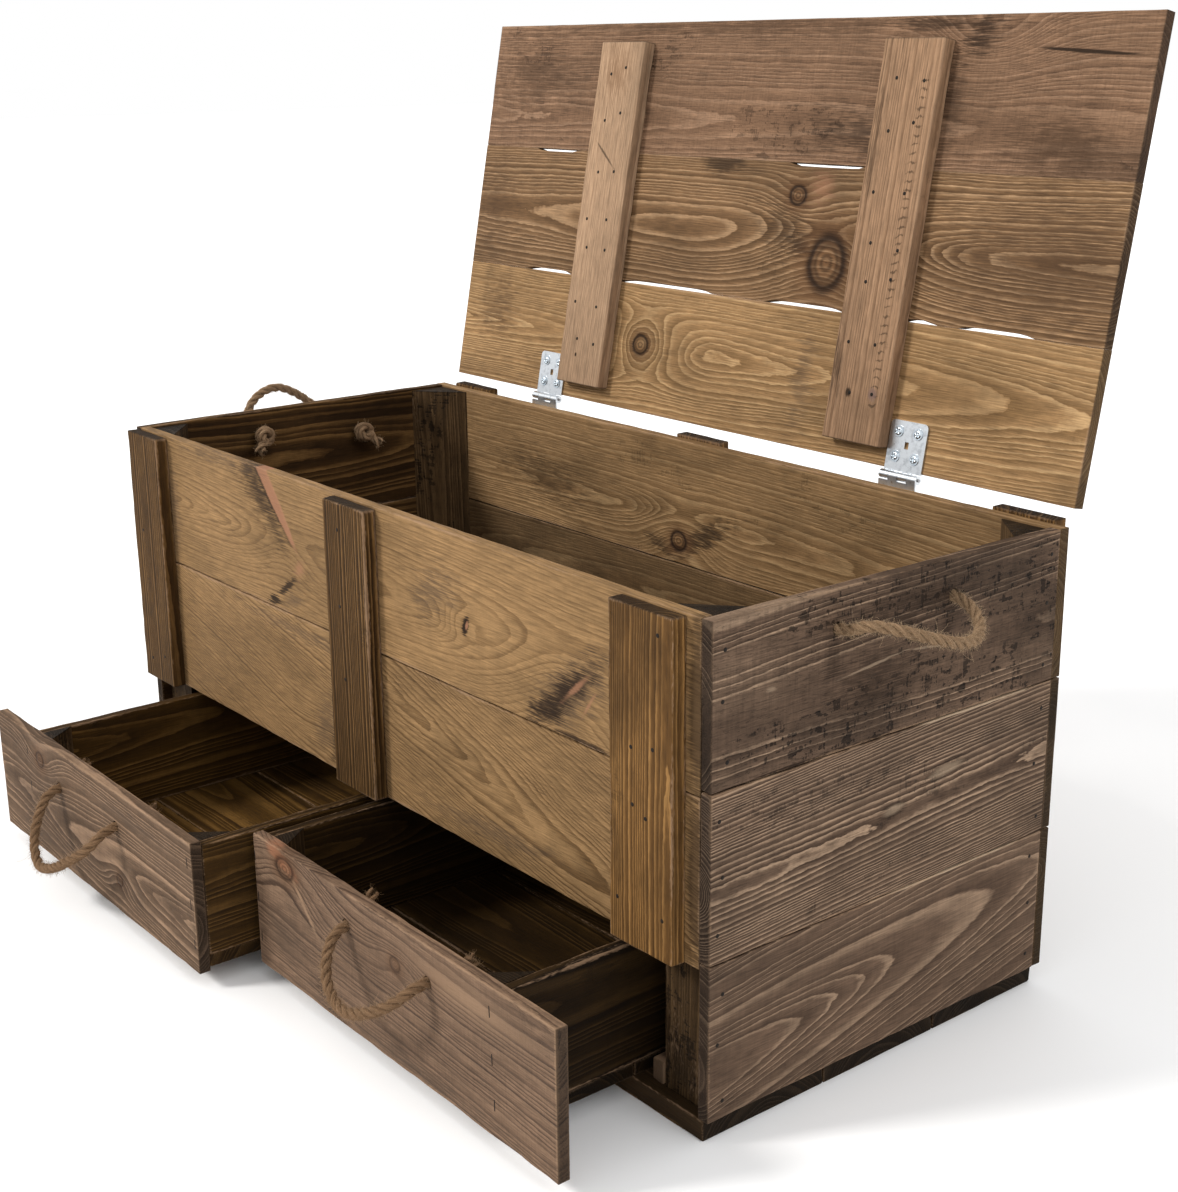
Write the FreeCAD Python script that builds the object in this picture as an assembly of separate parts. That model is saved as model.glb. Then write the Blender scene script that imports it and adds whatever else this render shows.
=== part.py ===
import FreeCAD, Part
import math
import os

# Mule chest in stained pine: an open box with a lift-up lid, over two drawers side by side.
# Millimetres. X runs along the chest to its right end, Y from the front to the back, Z up.
# The origin is the middle of the underside of the base, which stands on the floor.
# The chest is drawn with its lid up and its drawers part open.

V = FreeCAD.Vector
ALONG_X = V(1, 0, 0)
ALONG_Y = V(0, 1, 0)
ALONG_Z = V(0, 0, 1)

# ---- Driving dimensions ----

# Carcass
chest_length = 1000.0
chest_depth = 437.0
wall_thickness = 12.0
board_joint = 1.0  # open joint between neighbouring boards of a wall
edge_wear = 0.8  # worn long edges of every board

# Base
base_thickness = 20.0
base_end_inset = 6.0  # the end walls overhang the base
base_back_inset = 6.0
base_board_count = 3

# Courses of the end and back walls, from the base up
bottom_course = 144.0
middle_course = 150.0
top_course = 143.0

# Front wall, hung above the drawer bay
front_upper_width = 149.0
front_lower_width = 151.0

# Upright battens outside the walls
batten_thickness = 15.0
front_batten_drop = 2.0  # tops of the front battens below the wall's top
back_batten_rise = 3.0  # tops of the back battens above it
back_batten_foot = 157.0  # height of their lower ends
# Their widths, and how far the outer ones stand in from the ends and the centre ones off the middle.
front_batten_widths = {"left": 72.0, "centre": 76.0, "right": 79.0}
front_batten_places = {"left": 7.0, "centre": -16.0, "right": 29.0}
back_batten_widths = {"left": 75.0, "centre": 71.0, "right": 74.0}
back_batten_places = {"left": 25.0, "centre": -2.5, "right": 15.0}

# Triangular posts in the corners
post_leg_x = 56.0
post_leg_y = 48.0
post_top_drop = 3.0

# Floor of the upper compartment
floor_thickness = 12.0
floor_clearance = 0.3  # to the walls
floor_post_clearance = 1.0
floor_board_count = 3
cleat_size = 20.0

# Drawers
drawer_panel_thickness = 12.0
drawer_panel_end_gap = 9.0  # from the left panel to the chest's end
drawer_panel_drop = 4.0  # the panel laps over the front edge of the base
drawer_panel_top_gap = 3.0
right_drawer_inset = 3.0  # from the middle of the chest to each drawer
left_drawer_inset = 11.0
drawer_running_gap = 0.3  # over the base
drawer_back_gap = 25.0  # behind a drawer when it is shut
drawer_board_thickness = 12.0
drawer_bottom_thickness = 13.0
drawer_bottom_count = 3
drawer_side_top_gap = 5.0  # sides below the panel's top
block_leg_x = 28.0
block_leg_y = 38.0
right_drawer_pull = 131.5  # how far each drawer is drawn out
left_drawer_pull = 191.0

# Drawer guides on the base
guide_width = 14.0
guide_height = 21.0
guide_gap = 4.0  # to the side of the left drawer
guide_post_gap = 2.0
guide_back_gap = 6.0

# Lid
lid_thickness = 12.0
lid_left_gap = 19.0  # the lid stops short of the chest's ends
lid_right_gap = 3.0
lid_front_overhang = 4.5
lid_rear_gap = 6.0  # from the pin to the lid's rear edge
lid_rear_width = 145.0
lid_middle_width = 147.0
lid_joint = 0.3
lid_open_angle = 100.9
lid_batten_thickness = 15.0
lid_batten_width = 78.0
lid_batten_start = 24.5  # from the pin
lid_batten_front_gap = 7.0  # to the inside of the front wall when shut
left_lid_batten_inset = 225.0  # from the lid's ends
right_lid_batten_inset = 231.0
hollow_depth = 3.0  # hollow edges of the middle board, where daylight shows
rear_joint_hollows = ((-361.0, -277.0), (-184.0, -23.0), (63.0, 173.0), (263.0, 294.0), (328.0, 415.0))
front_joint_hollows = ((-372.0, -293.0), (67.0, 175.0))

# Hinges
leaf_width = 48.0
leaf_height = 55.0
leaf_thickness = 2.0
leaf_corner = 5.0
knuckle_radius = 4.5
knuckle_count = 4
knuckle_gap = 0.3
pin_radius = 1.5
pin_clearance = 0.05
pin_proud = 1.2
pin_rise = 9.5  # pin above the top of the back wall
left_hinge_gap = 4.0  # from the lid batten
right_hinge_gap = 1.0
leaf_slot_width = 5.0
leaf_slot_height = 7.0
leaf_slot_drop = 31.0

# Screws of the hinges
screw_radius = 1.7
screw_length = 11.0
screw_head_radius = 3.6
screw_head_rim = 1.0
screw_crown_height = 1.2
screw_hole_clearance = 0.3
pilot_clearance = 0.05
screw_spread = 25.0
screw_rows = (19.0, 44.0)  # below the pin
screw_sides = 12

# Rope
rope_diameter = 10.5
rope_hole_clearance = 0.75
rope_sides = 8
knot_sides = 12
knot_radius = 12.5
knot_height = 20.0
knot_slope = 5.0  # its ends are drawn in by as much
tail_length = 24.0
arc_share = 0.45  # of the shorter run beside a corner

cutter_margin = 1.0  # how far a cutter stands out of what it cuts
parallel_tolerance = 1e-6  # on the sine of the angle between two directions

# ---- Worked-out places ----

front_face = -chest_depth / 2
front_inner = front_face + wall_thickness
back_face = chest_depth / 2
back_inner = back_face - wall_thickness
end_face = chest_length / 2
end_inner = end_face - wall_thickness

course_starts = [base_thickness]
for width in (bottom_course, middle_course):
    course_starts.append(course_starts[-1] + width + board_joint)
wall_top = course_starts[-1] + top_course
courses = {
    "bottom": (course_starts[0], bottom_course),
    "middle": (course_starts[1], middle_course),
    "top": (course_starts[2], top_course),
}

front_joint = wall_top - front_upper_width
bay_top = front_joint - board_joint - front_lower_width

pin_y = back_face + knuckle_radius
pin_z = wall_top + pin_rise
lid_underside = pin_z + knuckle_radius
lid_left = lid_left_gap - end_face
lid_right = end_face - lid_right_gap
left_lid_batten_x = lid_left + left_lid_batten_inset + lid_batten_width / 2
right_lid_batten_x = lid_right - right_lid_batten_inset - lid_batten_width / 2
left_hinge_x = left_lid_batten_x - lid_batten_width / 2 - left_hinge_gap - leaf_width / 2
right_hinge_x = right_lid_batten_x + lid_batten_width / 2 + right_hinge_gap + leaf_width / 2
hinge_places = {"left": left_hinge_x, "right": right_hinge_x}

guide_outer = end_inner - post_leg_x - guide_post_gap
guide_inner = guide_outer - guide_width
drawer_box_width = guide_inner - guide_gap - left_drawer_inset
drawer_box_length = chest_depth - wall_thickness - drawer_back_gap
drawer_panel_length = end_face - drawer_panel_end_gap - left_drawer_inset
panel_bottom = base_thickness - drawer_panel_drop
panel_top = bay_top - drawer_panel_top_gap
drawer_bottom = base_thickness + drawer_running_gap
drawer_floor = drawer_bottom + drawer_bottom_thickness
drawer_top = panel_top - drawer_side_top_gap

rope_radius = rope_diameter / 2
rope_hole_radius = rope_radius + rope_hole_clearance

# Rope holes: (place along the board, height). The route of each rope lists, from its first knot to its last,
# (place along the board, how far it stands out of the board, height). A place along an end wall is counted
# from the middle of the chest, and one along a drawer from the inner end of its panel.
right_end_holes = ((-80.0, 424.3), (62.5, 425.2))
right_end_route = ((-80.0, 11.0, 424.3), (-77.0, 30.0, 434.5), (-57.0, 48.0, 429.5), (-29.0, 59.0, 419.0),
                   (2.0, 61.0, 409.0), (33.0, 53.0, 404.5), (58.0, 34.0, 412.0), (62.5, 11.0, 425.2))
left_end_holes = ((-63.7, 428.7), (77.2, 415.8))
left_end_route = ((-63.7, 11.0, 428.7), (-64.0, 21.0, 449.0), (-46.0, 28.0, 468.5), (-15.0, 32.0, 478.5),
                  (13.0, 29.0, 466.0), (34.0, 24.0, 448.0), (59.0, 21.0, 431.0), (77.2, 11.0, 415.8))
right_drawer_holes = ((169.4, 122.4), (300.1, 119.5))
right_drawer_route = ((169.4, 10.0, 122.4), (174.0, 25.0, 103.0), (193.0, 37.0, 82.0), (229.0, 43.0, 74.0),
                      (267.0, 41.0, 89.0), (296.0, 31.0, 108.0), (300.1, 10.5, 119.5))
left_drawer_holes = ((314.6, 112.5), (172.4, 114.7))
left_drawer_route = ((314.6, 11.0, 112.5), (317.0, 24.0, 91.0), (307.0, 38.0, 64.0), (280.0, 46.0, 44.0),
                     (243.0, 46.0, 54.0), (205.0, 42.0, 75.0), (172.0, 31.0, 98.0), (172.4, 10.5, 114.7))


# ---- Shapes ----

def runs_along(edge, direction):
    """Whether a straight edge runs along a direction, and not across it."""
    return edge.tangentAt(0).cross(direction).Length < parallel_tolerance


def block(x_span, y_span, z_span):
    """A plain box between three (low, high) spans."""
    low = V(x_span[0], y_span[0], z_span[0])
    size = [span[1] - span[0] for span in (x_span, y_span, z_span)]
    return Part.makeBox(size[0], size[1], size[2], low)


def board(x_span, y_span, z_span, grain):
    """A sawn board between three spans, with its four edges along the grain worn off."""
    solid = block(x_span, y_span, z_span)
    return solid.makeChamfer(edge_wear, [edge for edge in solid.Edges if runs_along(edge, grain)])


def prism(corners, low, high):
    """An upright prism on a list of (x, y) corners."""
    points = [V(x, y, low) for x, y in corners]
    outline = Part.makePolygon(points + points[:1])
    return Part.Face(outline).extrude(V(0, 0, high - low))


def corner_prism(corner, leg_x, leg_y, low, high):
    """A triangular post with its right angle at a corner and its legs in the signed directions."""
    x, y = corner
    return prism(((x, y), (x + leg_x, y), (x, y + leg_y)), low, high)


def cylinder(radius, start, direction, length):
    """A round bar from a point along a direction."""
    return Part.makeCylinder(radius, length, start, direction)


def split(span, count, joint):
    """Even spans of a number of boards laid side by side across a span, with open joints."""
    width = (span[1] - span[0] - joint * (count - 1)) / count
    starts = [span[0] + i * (width + joint) for i in range(count)]
    return [(start, start + width) for start in starts]


def rotated(shape, angle):
    """A copy turned about the hinge pin."""
    turned = shape.copy()
    turned.rotate(V(0, pin_y, pin_z), ALONG_X, angle)
    return turned


def many_sided(radius, sides, middle, direction):
    """The closed outline of a regular polygon about a point, square to a direction."""
    out = radius * direction.cross(ALONG_Z if abs(direction.z) < abs(direction.y) else ALONG_Y).normalize()
    turn = FreeCAD.Rotation(direction, 360 / sides)
    corners = []
    for _ in range(sides):
        corners.append(middle + out)
        out = turn.multVec(out)
    return Part.makePolygon(corners + corners[:1])


def many_sided_bar(radius, sides, start, direction, length):
    """A bar with a regular polygon for its section, from a point along a direction."""
    return Part.Face(many_sided(radius, sides, start, direction)).extrude(direction * length)


def rope_between(points, label):
    """A many-sided rope of straight runs joined by tangent arcs, from the first point to the last."""
    section = Part.Face(many_sided(rope_radius, rope_sides, points[0], points[1] - points[0]))
    pieces = []
    radii = []
    path_length = 0.0
    start = points[0]
    for before, corner, after in zip(points, points[1:], points[2:]):
        arrive = (corner - before).normalize()
        leave = (after - corner).normalize()
        turn = arrive.getAngle(leave)
        reach = arc_share * min((corner - before).Length, (after - corner).Length)
        radius = reach / math.tan(turn / 2)
        first = corner - arrive * reach
        axis = arrive.cross(leave).normalize()
        centre = first + axis.cross(arrive) * radius
        pieces.append(section.extrude(first - start))
        section.translate(first - start)
        pieces.append(section.revolve(centre, axis, math.degrees(turn)))
        section.rotate(centre, axis, math.degrees(turn))
        path_length += (first - start).Length + radius * turn
        radii.append(radius)
        start = corner + leave * reach
    pieces.append(section.extrude(points[-1] - start))
    path_length += (points[-1] - start).Length
    rope = pieces[0].fuse(pieces[1:]).removeSplitter()
    print(label, "length", round(path_length, 1), "radii", [round(r, 1) for r in radii],
          "volume over section times length", round(rope.Volume / (section.Area * path_length), 4))
    return rope


def knot(seat, outward, tail_direction):
    """A knot pulled against the inside of a board: a round bead, with the rope's cut end standing off it."""
    inward = outward * -1
    bar = many_sided_bar(knot_radius, knot_sides, seat, inward, knot_height)
    bead = bar.makeChamfer(knot_slope, [edge for edge in bar.Edges if not runs_along(edge, inward)])
    middle = seat + inward * (knot_height / 2)
    tail = many_sided_bar(rope_radius, rope_sides, middle, tail_direction, tail_length)
    return bead.fuse(tail).removeSplitter()


def rope_handle(holes, route, board_inner, outward, across, thickness, label):
    """The rope through two holes of a board: its tube, and its seats against the board's inner face."""
    def place(along, out, height):
        """A point by its place along the board, how far it stands out of it, and its height."""
        on_board = across * along + ALONG_Z * height
        return on_board + outward * (board_inner + thickness + out)

    seats = [place(along, -thickness, height) for along, height in holes]
    middle_points = [place(along, out, height) for along, out, height in route]
    points = [seats[0]] + middle_points + [seats[1]]
    return rope_between(points, label), seats


def bored(shape, seats, outward, thickness):
    """A board with the rope's holes through it."""
    for seat in seats:
        start = seat - outward * cutter_margin
        shape = shape.cut(cylinder(rope_hole_radius, start, outward, thickness + 2 * cutter_margin))
    return shape


# ---- Carcass ----

def base():
    """Three base boards side by side."""
    x_span = (-end_face + base_end_inset, end_face - base_end_inset)
    spans = split((front_face, back_face - base_back_inset), base_board_count, board_joint)
    names = ("base_board_front", "base_board_middle", "base_board_rear")
    return {name: board(x_span, span, (0, base_thickness), ALONG_X) for name, span in zip(names, spans)}


def walls():
    """The end walls, the back wall across their ends, and the front wall between them."""
    made = {}
    side_span = (front_face, back_inner)
    for name, (start, width) in courses.items():
        z_span = (start, start + width)
        made["right_side_board_" + name] = board((end_inner, end_face), side_span, z_span, ALONG_Y)
        made["left_side_board_" + name] = board((-end_face, -end_inner), side_span, z_span, ALONG_Y)
        made["back_board_" + name] = board((-end_face, end_face), (back_inner, back_face), z_span, ALONG_X)
    x_span = (-end_inner, end_inner)
    y_span = (front_face, front_inner)
    made["front_board_upper"] = board(x_span, y_span, (front_joint, wall_top), ALONG_X)
    made["front_board_lower"] = board(x_span, y_span, (bay_top, bay_top + front_lower_width), ALONG_X)
    return made


def batten_span(side, place, width):
    """Where a batten lies along the chest, from its side, its place there and its width."""
    if side == "centre":
        return place - width / 2, place + width / 2
    near = end_face - place
    return (near - width, near) if side == "right" else (-near, width - near)


def wall_battens():
    """Upright battens nailed outside the front and back walls."""
    made = {}
    for side, width in front_batten_widths.items():
        x_span = batten_span(side, front_batten_places[side], width)
        y_span = (front_face - batten_thickness, front_face)
        made["front_batten_" + side] = board(x_span, y_span, (bay_top, wall_top - front_batten_drop), ALONG_Z)
    for side, width in back_batten_widths.items():
        x_span = batten_span(side, back_batten_places[side], width)
        y_span = (back_face, back_face + batten_thickness)
        z_span = (back_batten_foot, wall_top + back_batten_rise)
        made["back_batten_" + side] = board(x_span, y_span, z_span, ALONG_Z)
    return made


def posts():
    """Triangular posts in the four inner corners, on the base."""
    made = {}
    for side, sign in (("left", -1), ("right", 1)):
        for depth, y, leg in (("front", front_inner, post_leg_y), ("back", back_inner, -post_leg_y)):
            corner = (sign * end_inner, y)
            made["corner_post_" + depth + "_" + side] = corner_prism(
                corner, -sign * post_leg_x, leg, base_thickness, wall_top - post_top_drop)
    return made


def compartment_floor():
    """Floor boards cut round the posts, on a cleat along each end wall."""
    half_length = end_inner - floor_clearance
    front = front_inner + floor_clearance
    back = back_inner - floor_clearance
    cut_x = post_leg_x + floor_post_clearance
    cut_y = post_leg_y + floor_post_clearance
    outline = []
    for x_sign, y, y_sign in ((-1, front, 1), (1, front, 1), (1, back, -1), (-1, back, -1)):
        on_side = (x_sign * half_length, y + y_sign * cut_y)
        on_length = (x_sign * (half_length - cut_x), y)
        outline += [on_side, on_length] if x_sign * y_sign < 0 else [on_length, on_side]
    sheet = prism(outline, bay_top, bay_top + floor_thickness)
    strips = split((front, back), floor_board_count, board_joint)
    boards = [sheet.common(block((-end_face, end_face), strip, (bay_top, bay_top + floor_thickness)))
              for strip in strips]
    y_span = (front_inner + post_leg_y, back_inner - post_leg_y)
    cleats = []
    for sign in (-1, 1):
        x_span = sorted((sign * end_inner, sign * (end_inner - cleat_size)))
        cleats.append(board(x_span, y_span, (bay_top - cleat_size, bay_top), ALONG_Y))
    return {"floor_boards": Part.makeCompound(boards), "floor_cleats": Part.makeCompound(cleats)}


def drawer_guides():
    """Strips on the base that keep the drawers straight."""
    made = {}
    for name, sign in (("left", -1), ("right", 1)):
        x_span = sorted((sign * guide_inner, sign * guide_outer))
        y_span = (front_inner, back_inner - guide_back_gap)
        z_span = (base_thickness, base_thickness + guide_height)
        made["drawer_guide_" + name] = board(x_span, y_span, z_span, ALONG_Y)
    return made


# ---- Rope handles of the ends ----

def end_handles(made):
    """A rope through the top board of each end wall, knotted inside."""
    for side, sign, holes, route in (("right", 1, right_end_holes, right_end_route),
                                     ("left", -1, left_end_holes, left_end_route)):
        outward = ALONG_X * sign
        rope, seats = rope_handle(holes, route, end_inner, outward, ALONG_Y, wall_thickness, side + " end")
        top_board = side + "_side_board_top"
        made[top_board] = bored(made[top_board], seats, outward, wall_thickness)
        made["rope_handle_" + side + "_end"] = rope
        tails = (V(-sign, -1, -1), V(-sign, 1, -1))
        knots = [knot(seat, outward, tail.normalize()) for seat, tail in zip(seats, tails)]
        made["rope_knots_" + side + "_end"] = Part.makeCompound(knots)


# ---- Hinges ----

def knuckle_span(index):
    """Where one knuckle lies along the pin, from the left end of the leaf."""
    length = (leaf_width - knuckle_gap * (knuckle_count - 1)) / knuckle_count
    start = -leaf_width / 2 + index * (length + knuckle_gap)
    return start, start + length


def screw_places():
    """Screws of one leaf: (place along the pin, height), counted from the middle of the pin."""
    return [(x, -row) for row in screw_rows for x in (-screw_spread / 2, screw_spread / 2)]


def hinge_leaf(other_knuckles):
    """A leaf hanging from its pin, wood side to -Y, with room for the other leaf's knuckles."""
    half = leaf_width / 2
    plate = block((-half, half), (-knuckle_radius, leaf_thickness - knuckle_radius), (-leaf_height, 0))
    corners = [edge for edge in plate.Edges
               if runs_along(edge, ALONG_Y) and edge.CenterOfMass.z < -leaf_height / 2]
    leaf = plate.makeFillet(leaf_corner, corners)
    leaf = leaf.fuse(cylinder(knuckle_radius, V(-half, 0, 0), ALONG_X, leaf_width))
    room = knuckle_radius + knuckle_gap
    for index in other_knuckles:
        start, end = knuckle_span(index)
        leaf = leaf.cut(block((start - knuckle_gap, end + knuckle_gap), (-room, room), (-room, room)))
    leaf = leaf.cut(cylinder(pin_radius + pin_clearance, V(-leaf_width, 0, 0), ALONG_X, 2 * leaf_width))
    for x, z in screw_places():
        start = V(x, -knuckle_radius - cutter_margin, z)
        hole = many_sided_bar(screw_radius + screw_hole_clearance, screw_sides, start, ALONG_Y,
                              leaf_thickness + 2 * cutter_margin)
        leaf = leaf.cut(hole)
    slot = block((-leaf_slot_width / 2, leaf_slot_width / 2), (-room, room),
                 (-leaf_slot_drop - leaf_slot_height / 2, -leaf_slot_drop + leaf_slot_height / 2))
    return leaf.cut(slot).removeSplitter()


def screw(seat):
    """A pan-head screw driven towards -Y, its head seated on a point of the leaf."""
    bar = many_sided_bar(screw_head_radius, screw_sides, seat, ALONG_Y, screw_head_rim + screw_crown_height)
    rim = [edge for edge in bar.Edges if edge.BoundBox.YMin > seat.y]
    head = bar.makeChamfer(screw_crown_height, rim)
    shank = many_sided_bar(screw_radius, screw_sides, seat, ALONG_Y * -1, screw_length)
    return head.fuse(shank).removeSplitter()


def leaf_screws():
    """The screws of one leaf, seated on its outer face."""
    return [screw(V(x, leaf_thickness - knuckle_radius, z)) for x, z in screw_places()]


def pilot_holes():
    """The holes that the screws of one leaf cut in the wood behind it."""
    depth = screw_length + knuckle_radius - leaf_thickness
    return [many_sided_bar(screw_radius + pilot_clearance, screw_sides, V(x, 0, z), ALONG_Y * -1, depth)
            for x, z in screw_places()]


def on_pin(shape, x):
    """A hinge piece moved from its own pin to the chest's, at a place along it."""
    moved = shape.copy()
    moved.translate(V(x, pin_y, pin_z))
    return moved


def hinges(made):
    """Two butt hinges: wall leaves outside the back wall, lid leaves under the lid, pins and screws."""
    lid_knuckles = range(0, knuckle_count, 2)
    wall_knuckles = range(1, knuckle_count, 2)
    wall_screws = []
    lid_screws = []
    pins = []
    for side, x in hinge_places.items():
        made["hinge_wall_leaf_" + side] = on_pin(hinge_leaf(lid_knuckles), x)
        made["hinge_lid_leaf_" + side] = rotated(on_pin(hinge_leaf(wall_knuckles), x), -90)
        wall_screws += [on_pin(one, x) for one in leaf_screws()]
        lid_screws += [rotated(on_pin(one, x), -90) for one in leaf_screws()]
        start = V(x - leaf_width / 2, pin_y, pin_z)
        pins.append(cylinder(pin_radius, start, ALONG_X, leaf_width + pin_proud))
        for hole in pilot_holes():
            made["back_board_top"] = made["back_board_top"].cut(on_pin(hole, x))
            made["lid_board_rear"] = made["lid_board_rear"].cut(rotated(on_pin(hole, x), -90))
    made["hinge_wall_screws"] = Part.makeCompound(wall_screws)
    made["hinge_lid_screws"] = Part.makeCompound(lid_screws)
    made["hinge_pins"] = Part.makeCompound(pins)


# ---- Lid ----

def hollow(x_span, edge_y, inward):
    """The shallow round hollow of a board's edge, between two places along it."""
    low = lid_underside - cutter_margin
    start, end = (V(x, edge_y - inward, low) for x in x_span)
    deepest = V(sum(x_span) / 2, edge_y + inward * hollow_depth, low)
    arc = Part.Arc(start, deepest, end).toShape()
    chord = Part.LineSegment(end, start).toShape()
    return Part.Face(Part.Wire([arc, chord])).extrude(V(0, 0, lid_thickness + 2 * cutter_margin))


def lid():
    """Three lid boards and their two battens, drawn level above the chest as when shut."""
    x_span = (lid_left, lid_right)
    z_span = (lid_underside, lid_underside + lid_thickness)
    rear_edge = pin_y - lid_rear_gap
    middle_rear = rear_edge - lid_rear_width - lid_joint
    middle_front = middle_rear - lid_middle_width
    middle = board(x_span, (middle_front, middle_rear), z_span, ALONG_X)
    for span in rear_joint_hollows:
        middle = middle.cut(hollow(span, middle_rear, -1))
    for span in front_joint_hollows:
        middle = middle.cut(hollow(span, middle_front, 1))
    front_span = (front_face - lid_front_overhang, middle_front - lid_joint)
    made = {
        "lid_board_rear": board(x_span, (rear_edge - lid_rear_width, rear_edge), z_span, ALONG_X),
        "lid_board_middle": middle,
        "lid_board_front": board(x_span, front_span, z_span, ALONG_X),
    }
    y_span = (front_inner + lid_batten_front_gap, pin_y - lid_batten_start)
    for name, x in (("left", left_lid_batten_x), ("right", right_lid_batten_x)):
        half = lid_batten_width / 2
        made["lid_batten_" + name] = board(
            (x - half, x + half), y_span, (lid_underside - lid_batten_thickness, lid_underside), ALONG_Y)
    return made


# ---- Drawers ----

def drawer(side, sign, inner, pull, holes, route):
    """One drawer: panel, box with a bottom under its sides, corner blocks and a rope handle."""
    outer = inner + drawer_box_width
    thick = drawer_board_thickness
    inside_front = front_face - pull
    inside_back = inside_front + drawer_box_length

    def across(low, high):
        """The span along X between two distances from the middle of the chest."""
        return sorted((sign * low, sign * high))

    walls_z = (drawer_floor, drawer_top)
    box_y = (inside_front, inside_back)
    back_y = (inside_back - thick, inside_back)
    panel = board(across(inner, inner + drawer_panel_length),
                  (inside_front - drawer_panel_thickness, inside_front), (panel_bottom, panel_top), ALONG_X)
    made = {
        "inner_side": board(across(inner, inner + thick), box_y, walls_z, ALONG_Y),
        "outer_side": board(across(outer - thick, outer), box_y, walls_z, ALONG_Y),
        "back": board(across(inner + thick, outer - thick), back_y, walls_z, ALONG_X),
    }
    strips = split(box_y, drawer_bottom_count, board_joint)
    bottoms = [board(across(inner, outer), strip, (drawer_bottom, drawer_floor), ALONG_X) for strip in strips]
    made["bottom"] = Part.makeCompound(bottoms)
    blocks = []
    for x, direction in ((inner + thick, sign), (outer - thick, -sign)):
        corner = (sign * x, inside_front)
        blocks.append(corner_prism(corner, direction * block_leg_x, block_leg_y, *walls_z))
    made["corner_blocks"] = Part.makeCompound(blocks)

    outward = ALONG_Y * -1
    holes = [(sign * (inner + along), height) for along, height in holes]
    route = [(sign * (inner + along), out, height) for along, out, height in route]
    rope, seats = rope_handle(holes, route, -inside_front, outward, ALONG_X, drawer_panel_thickness,
                              side + " drawer")
    made["front"] = bored(panel, seats, outward, drawer_panel_thickness)
    made["rope_handle"] = rope
    tails = (V(-1, 1, 1), V(1, 1, 1))
    made["rope_knots"] = Part.makeCompound(
        [knot(seat, outward, tail.normalize()) for seat, tail in zip(seats, tails)])
    return {side + "_drawer_" + name: shape for name, shape in made.items()}


# ---- The whole chest ----

def chest():
    """Every piece of the chest by its name."""
    made = {}
    for group in (base(), walls(), wall_battens(), posts(), compartment_floor(), drawer_guides(), lid()):
        made.update(group)
    end_handles(made)
    hinges(made)
    for name in made:
        if name.startswith(("lid_", "hinge_lid_")):
            made[name] = rotated(made[name], -lid_open_angle)
    made.update(drawer("right", 1, right_drawer_inset, right_drawer_pull,
                       right_drawer_holes, right_drawer_route))
    made.update(drawer("left", -1, left_drawer_inset, left_drawer_pull,
                       left_drawer_holes, left_drawer_route))
    return made


os.makedirs("parts", exist_ok=True)
for node, shape in chest().items():
    shape.exportStep(os.path.join("parts", node + ".step"))
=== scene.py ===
"""A mule chest in stained pine, dressed on its packed construction: boards, ropes, hinges and nails.

Lengths are in metres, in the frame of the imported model: X runs along the chest, Y from its front to its
back, and Z up.
"""
import logging
import math
from dataclasses import dataclass, replace
from enum import Enum
from typing import Any, Callable, Optional, Sequence, Union

import bpy
import numpy as np
from mathutils import Matrix, Vector


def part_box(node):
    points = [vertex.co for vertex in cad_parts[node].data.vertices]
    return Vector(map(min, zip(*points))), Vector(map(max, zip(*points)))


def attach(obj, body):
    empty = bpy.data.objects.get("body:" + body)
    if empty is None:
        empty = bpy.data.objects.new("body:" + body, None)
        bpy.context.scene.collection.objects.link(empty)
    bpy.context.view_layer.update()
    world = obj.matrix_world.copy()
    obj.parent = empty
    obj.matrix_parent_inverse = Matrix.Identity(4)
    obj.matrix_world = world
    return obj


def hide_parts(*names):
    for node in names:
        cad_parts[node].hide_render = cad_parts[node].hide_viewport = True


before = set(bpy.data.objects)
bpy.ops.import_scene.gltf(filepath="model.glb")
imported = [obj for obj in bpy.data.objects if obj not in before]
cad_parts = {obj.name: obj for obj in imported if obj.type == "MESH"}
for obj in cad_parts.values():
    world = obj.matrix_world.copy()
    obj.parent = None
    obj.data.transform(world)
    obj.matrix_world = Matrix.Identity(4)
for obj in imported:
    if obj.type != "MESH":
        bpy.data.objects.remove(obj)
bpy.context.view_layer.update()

log = logging.getLogger("mule_chest")

Colour = tuple[float, float, float]
Span = tuple[float, float]
Triple = tuple[float, float, float]
Faces = list[list[int]]
Piece = bpy.types.Object
Mesh = bpy.types.Mesh
Finish = bpy.types.Material

X, Y, Z = Vector((1, 0, 0)), Vector((0, 1, 0)), Vector((0, 0, 1))

# The camera: place, direction and lens.
CAMERA_PLACE = Vector((1.474843, -1.115201, 0.878451))
CAMERA_AZIMUTH = math.radians(51.456)
CAMERA_ELEVATION = math.radians(16.765)
CAMERA_ROLL = math.radians(-0.587)
CAMERA_LENS = 54.945
SENSOR_SIDE = 36.0

# Hinge pin and open lid
PIN = Vector((0.0, 0.2230, 0.4685))  # on the pins' common line
LID_OPEN = math.radians(100.9)
LID_TURN = Matrix.Translation(PIN) @ Matrix.Rotation(-LID_OPEN, 4, "X") @ Matrix.Translation(-PIN)
LEVEL = Matrix.Identity(4)

# Boards and ropes
WALL = 0.012
ROPE_DIAMETER = 0.0105
ROPE_PITCH = 0.034
END_GRAIN = 0.0016  # how far in from a sawn end its dark end grain shows


# ---- Node trees ----

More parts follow.
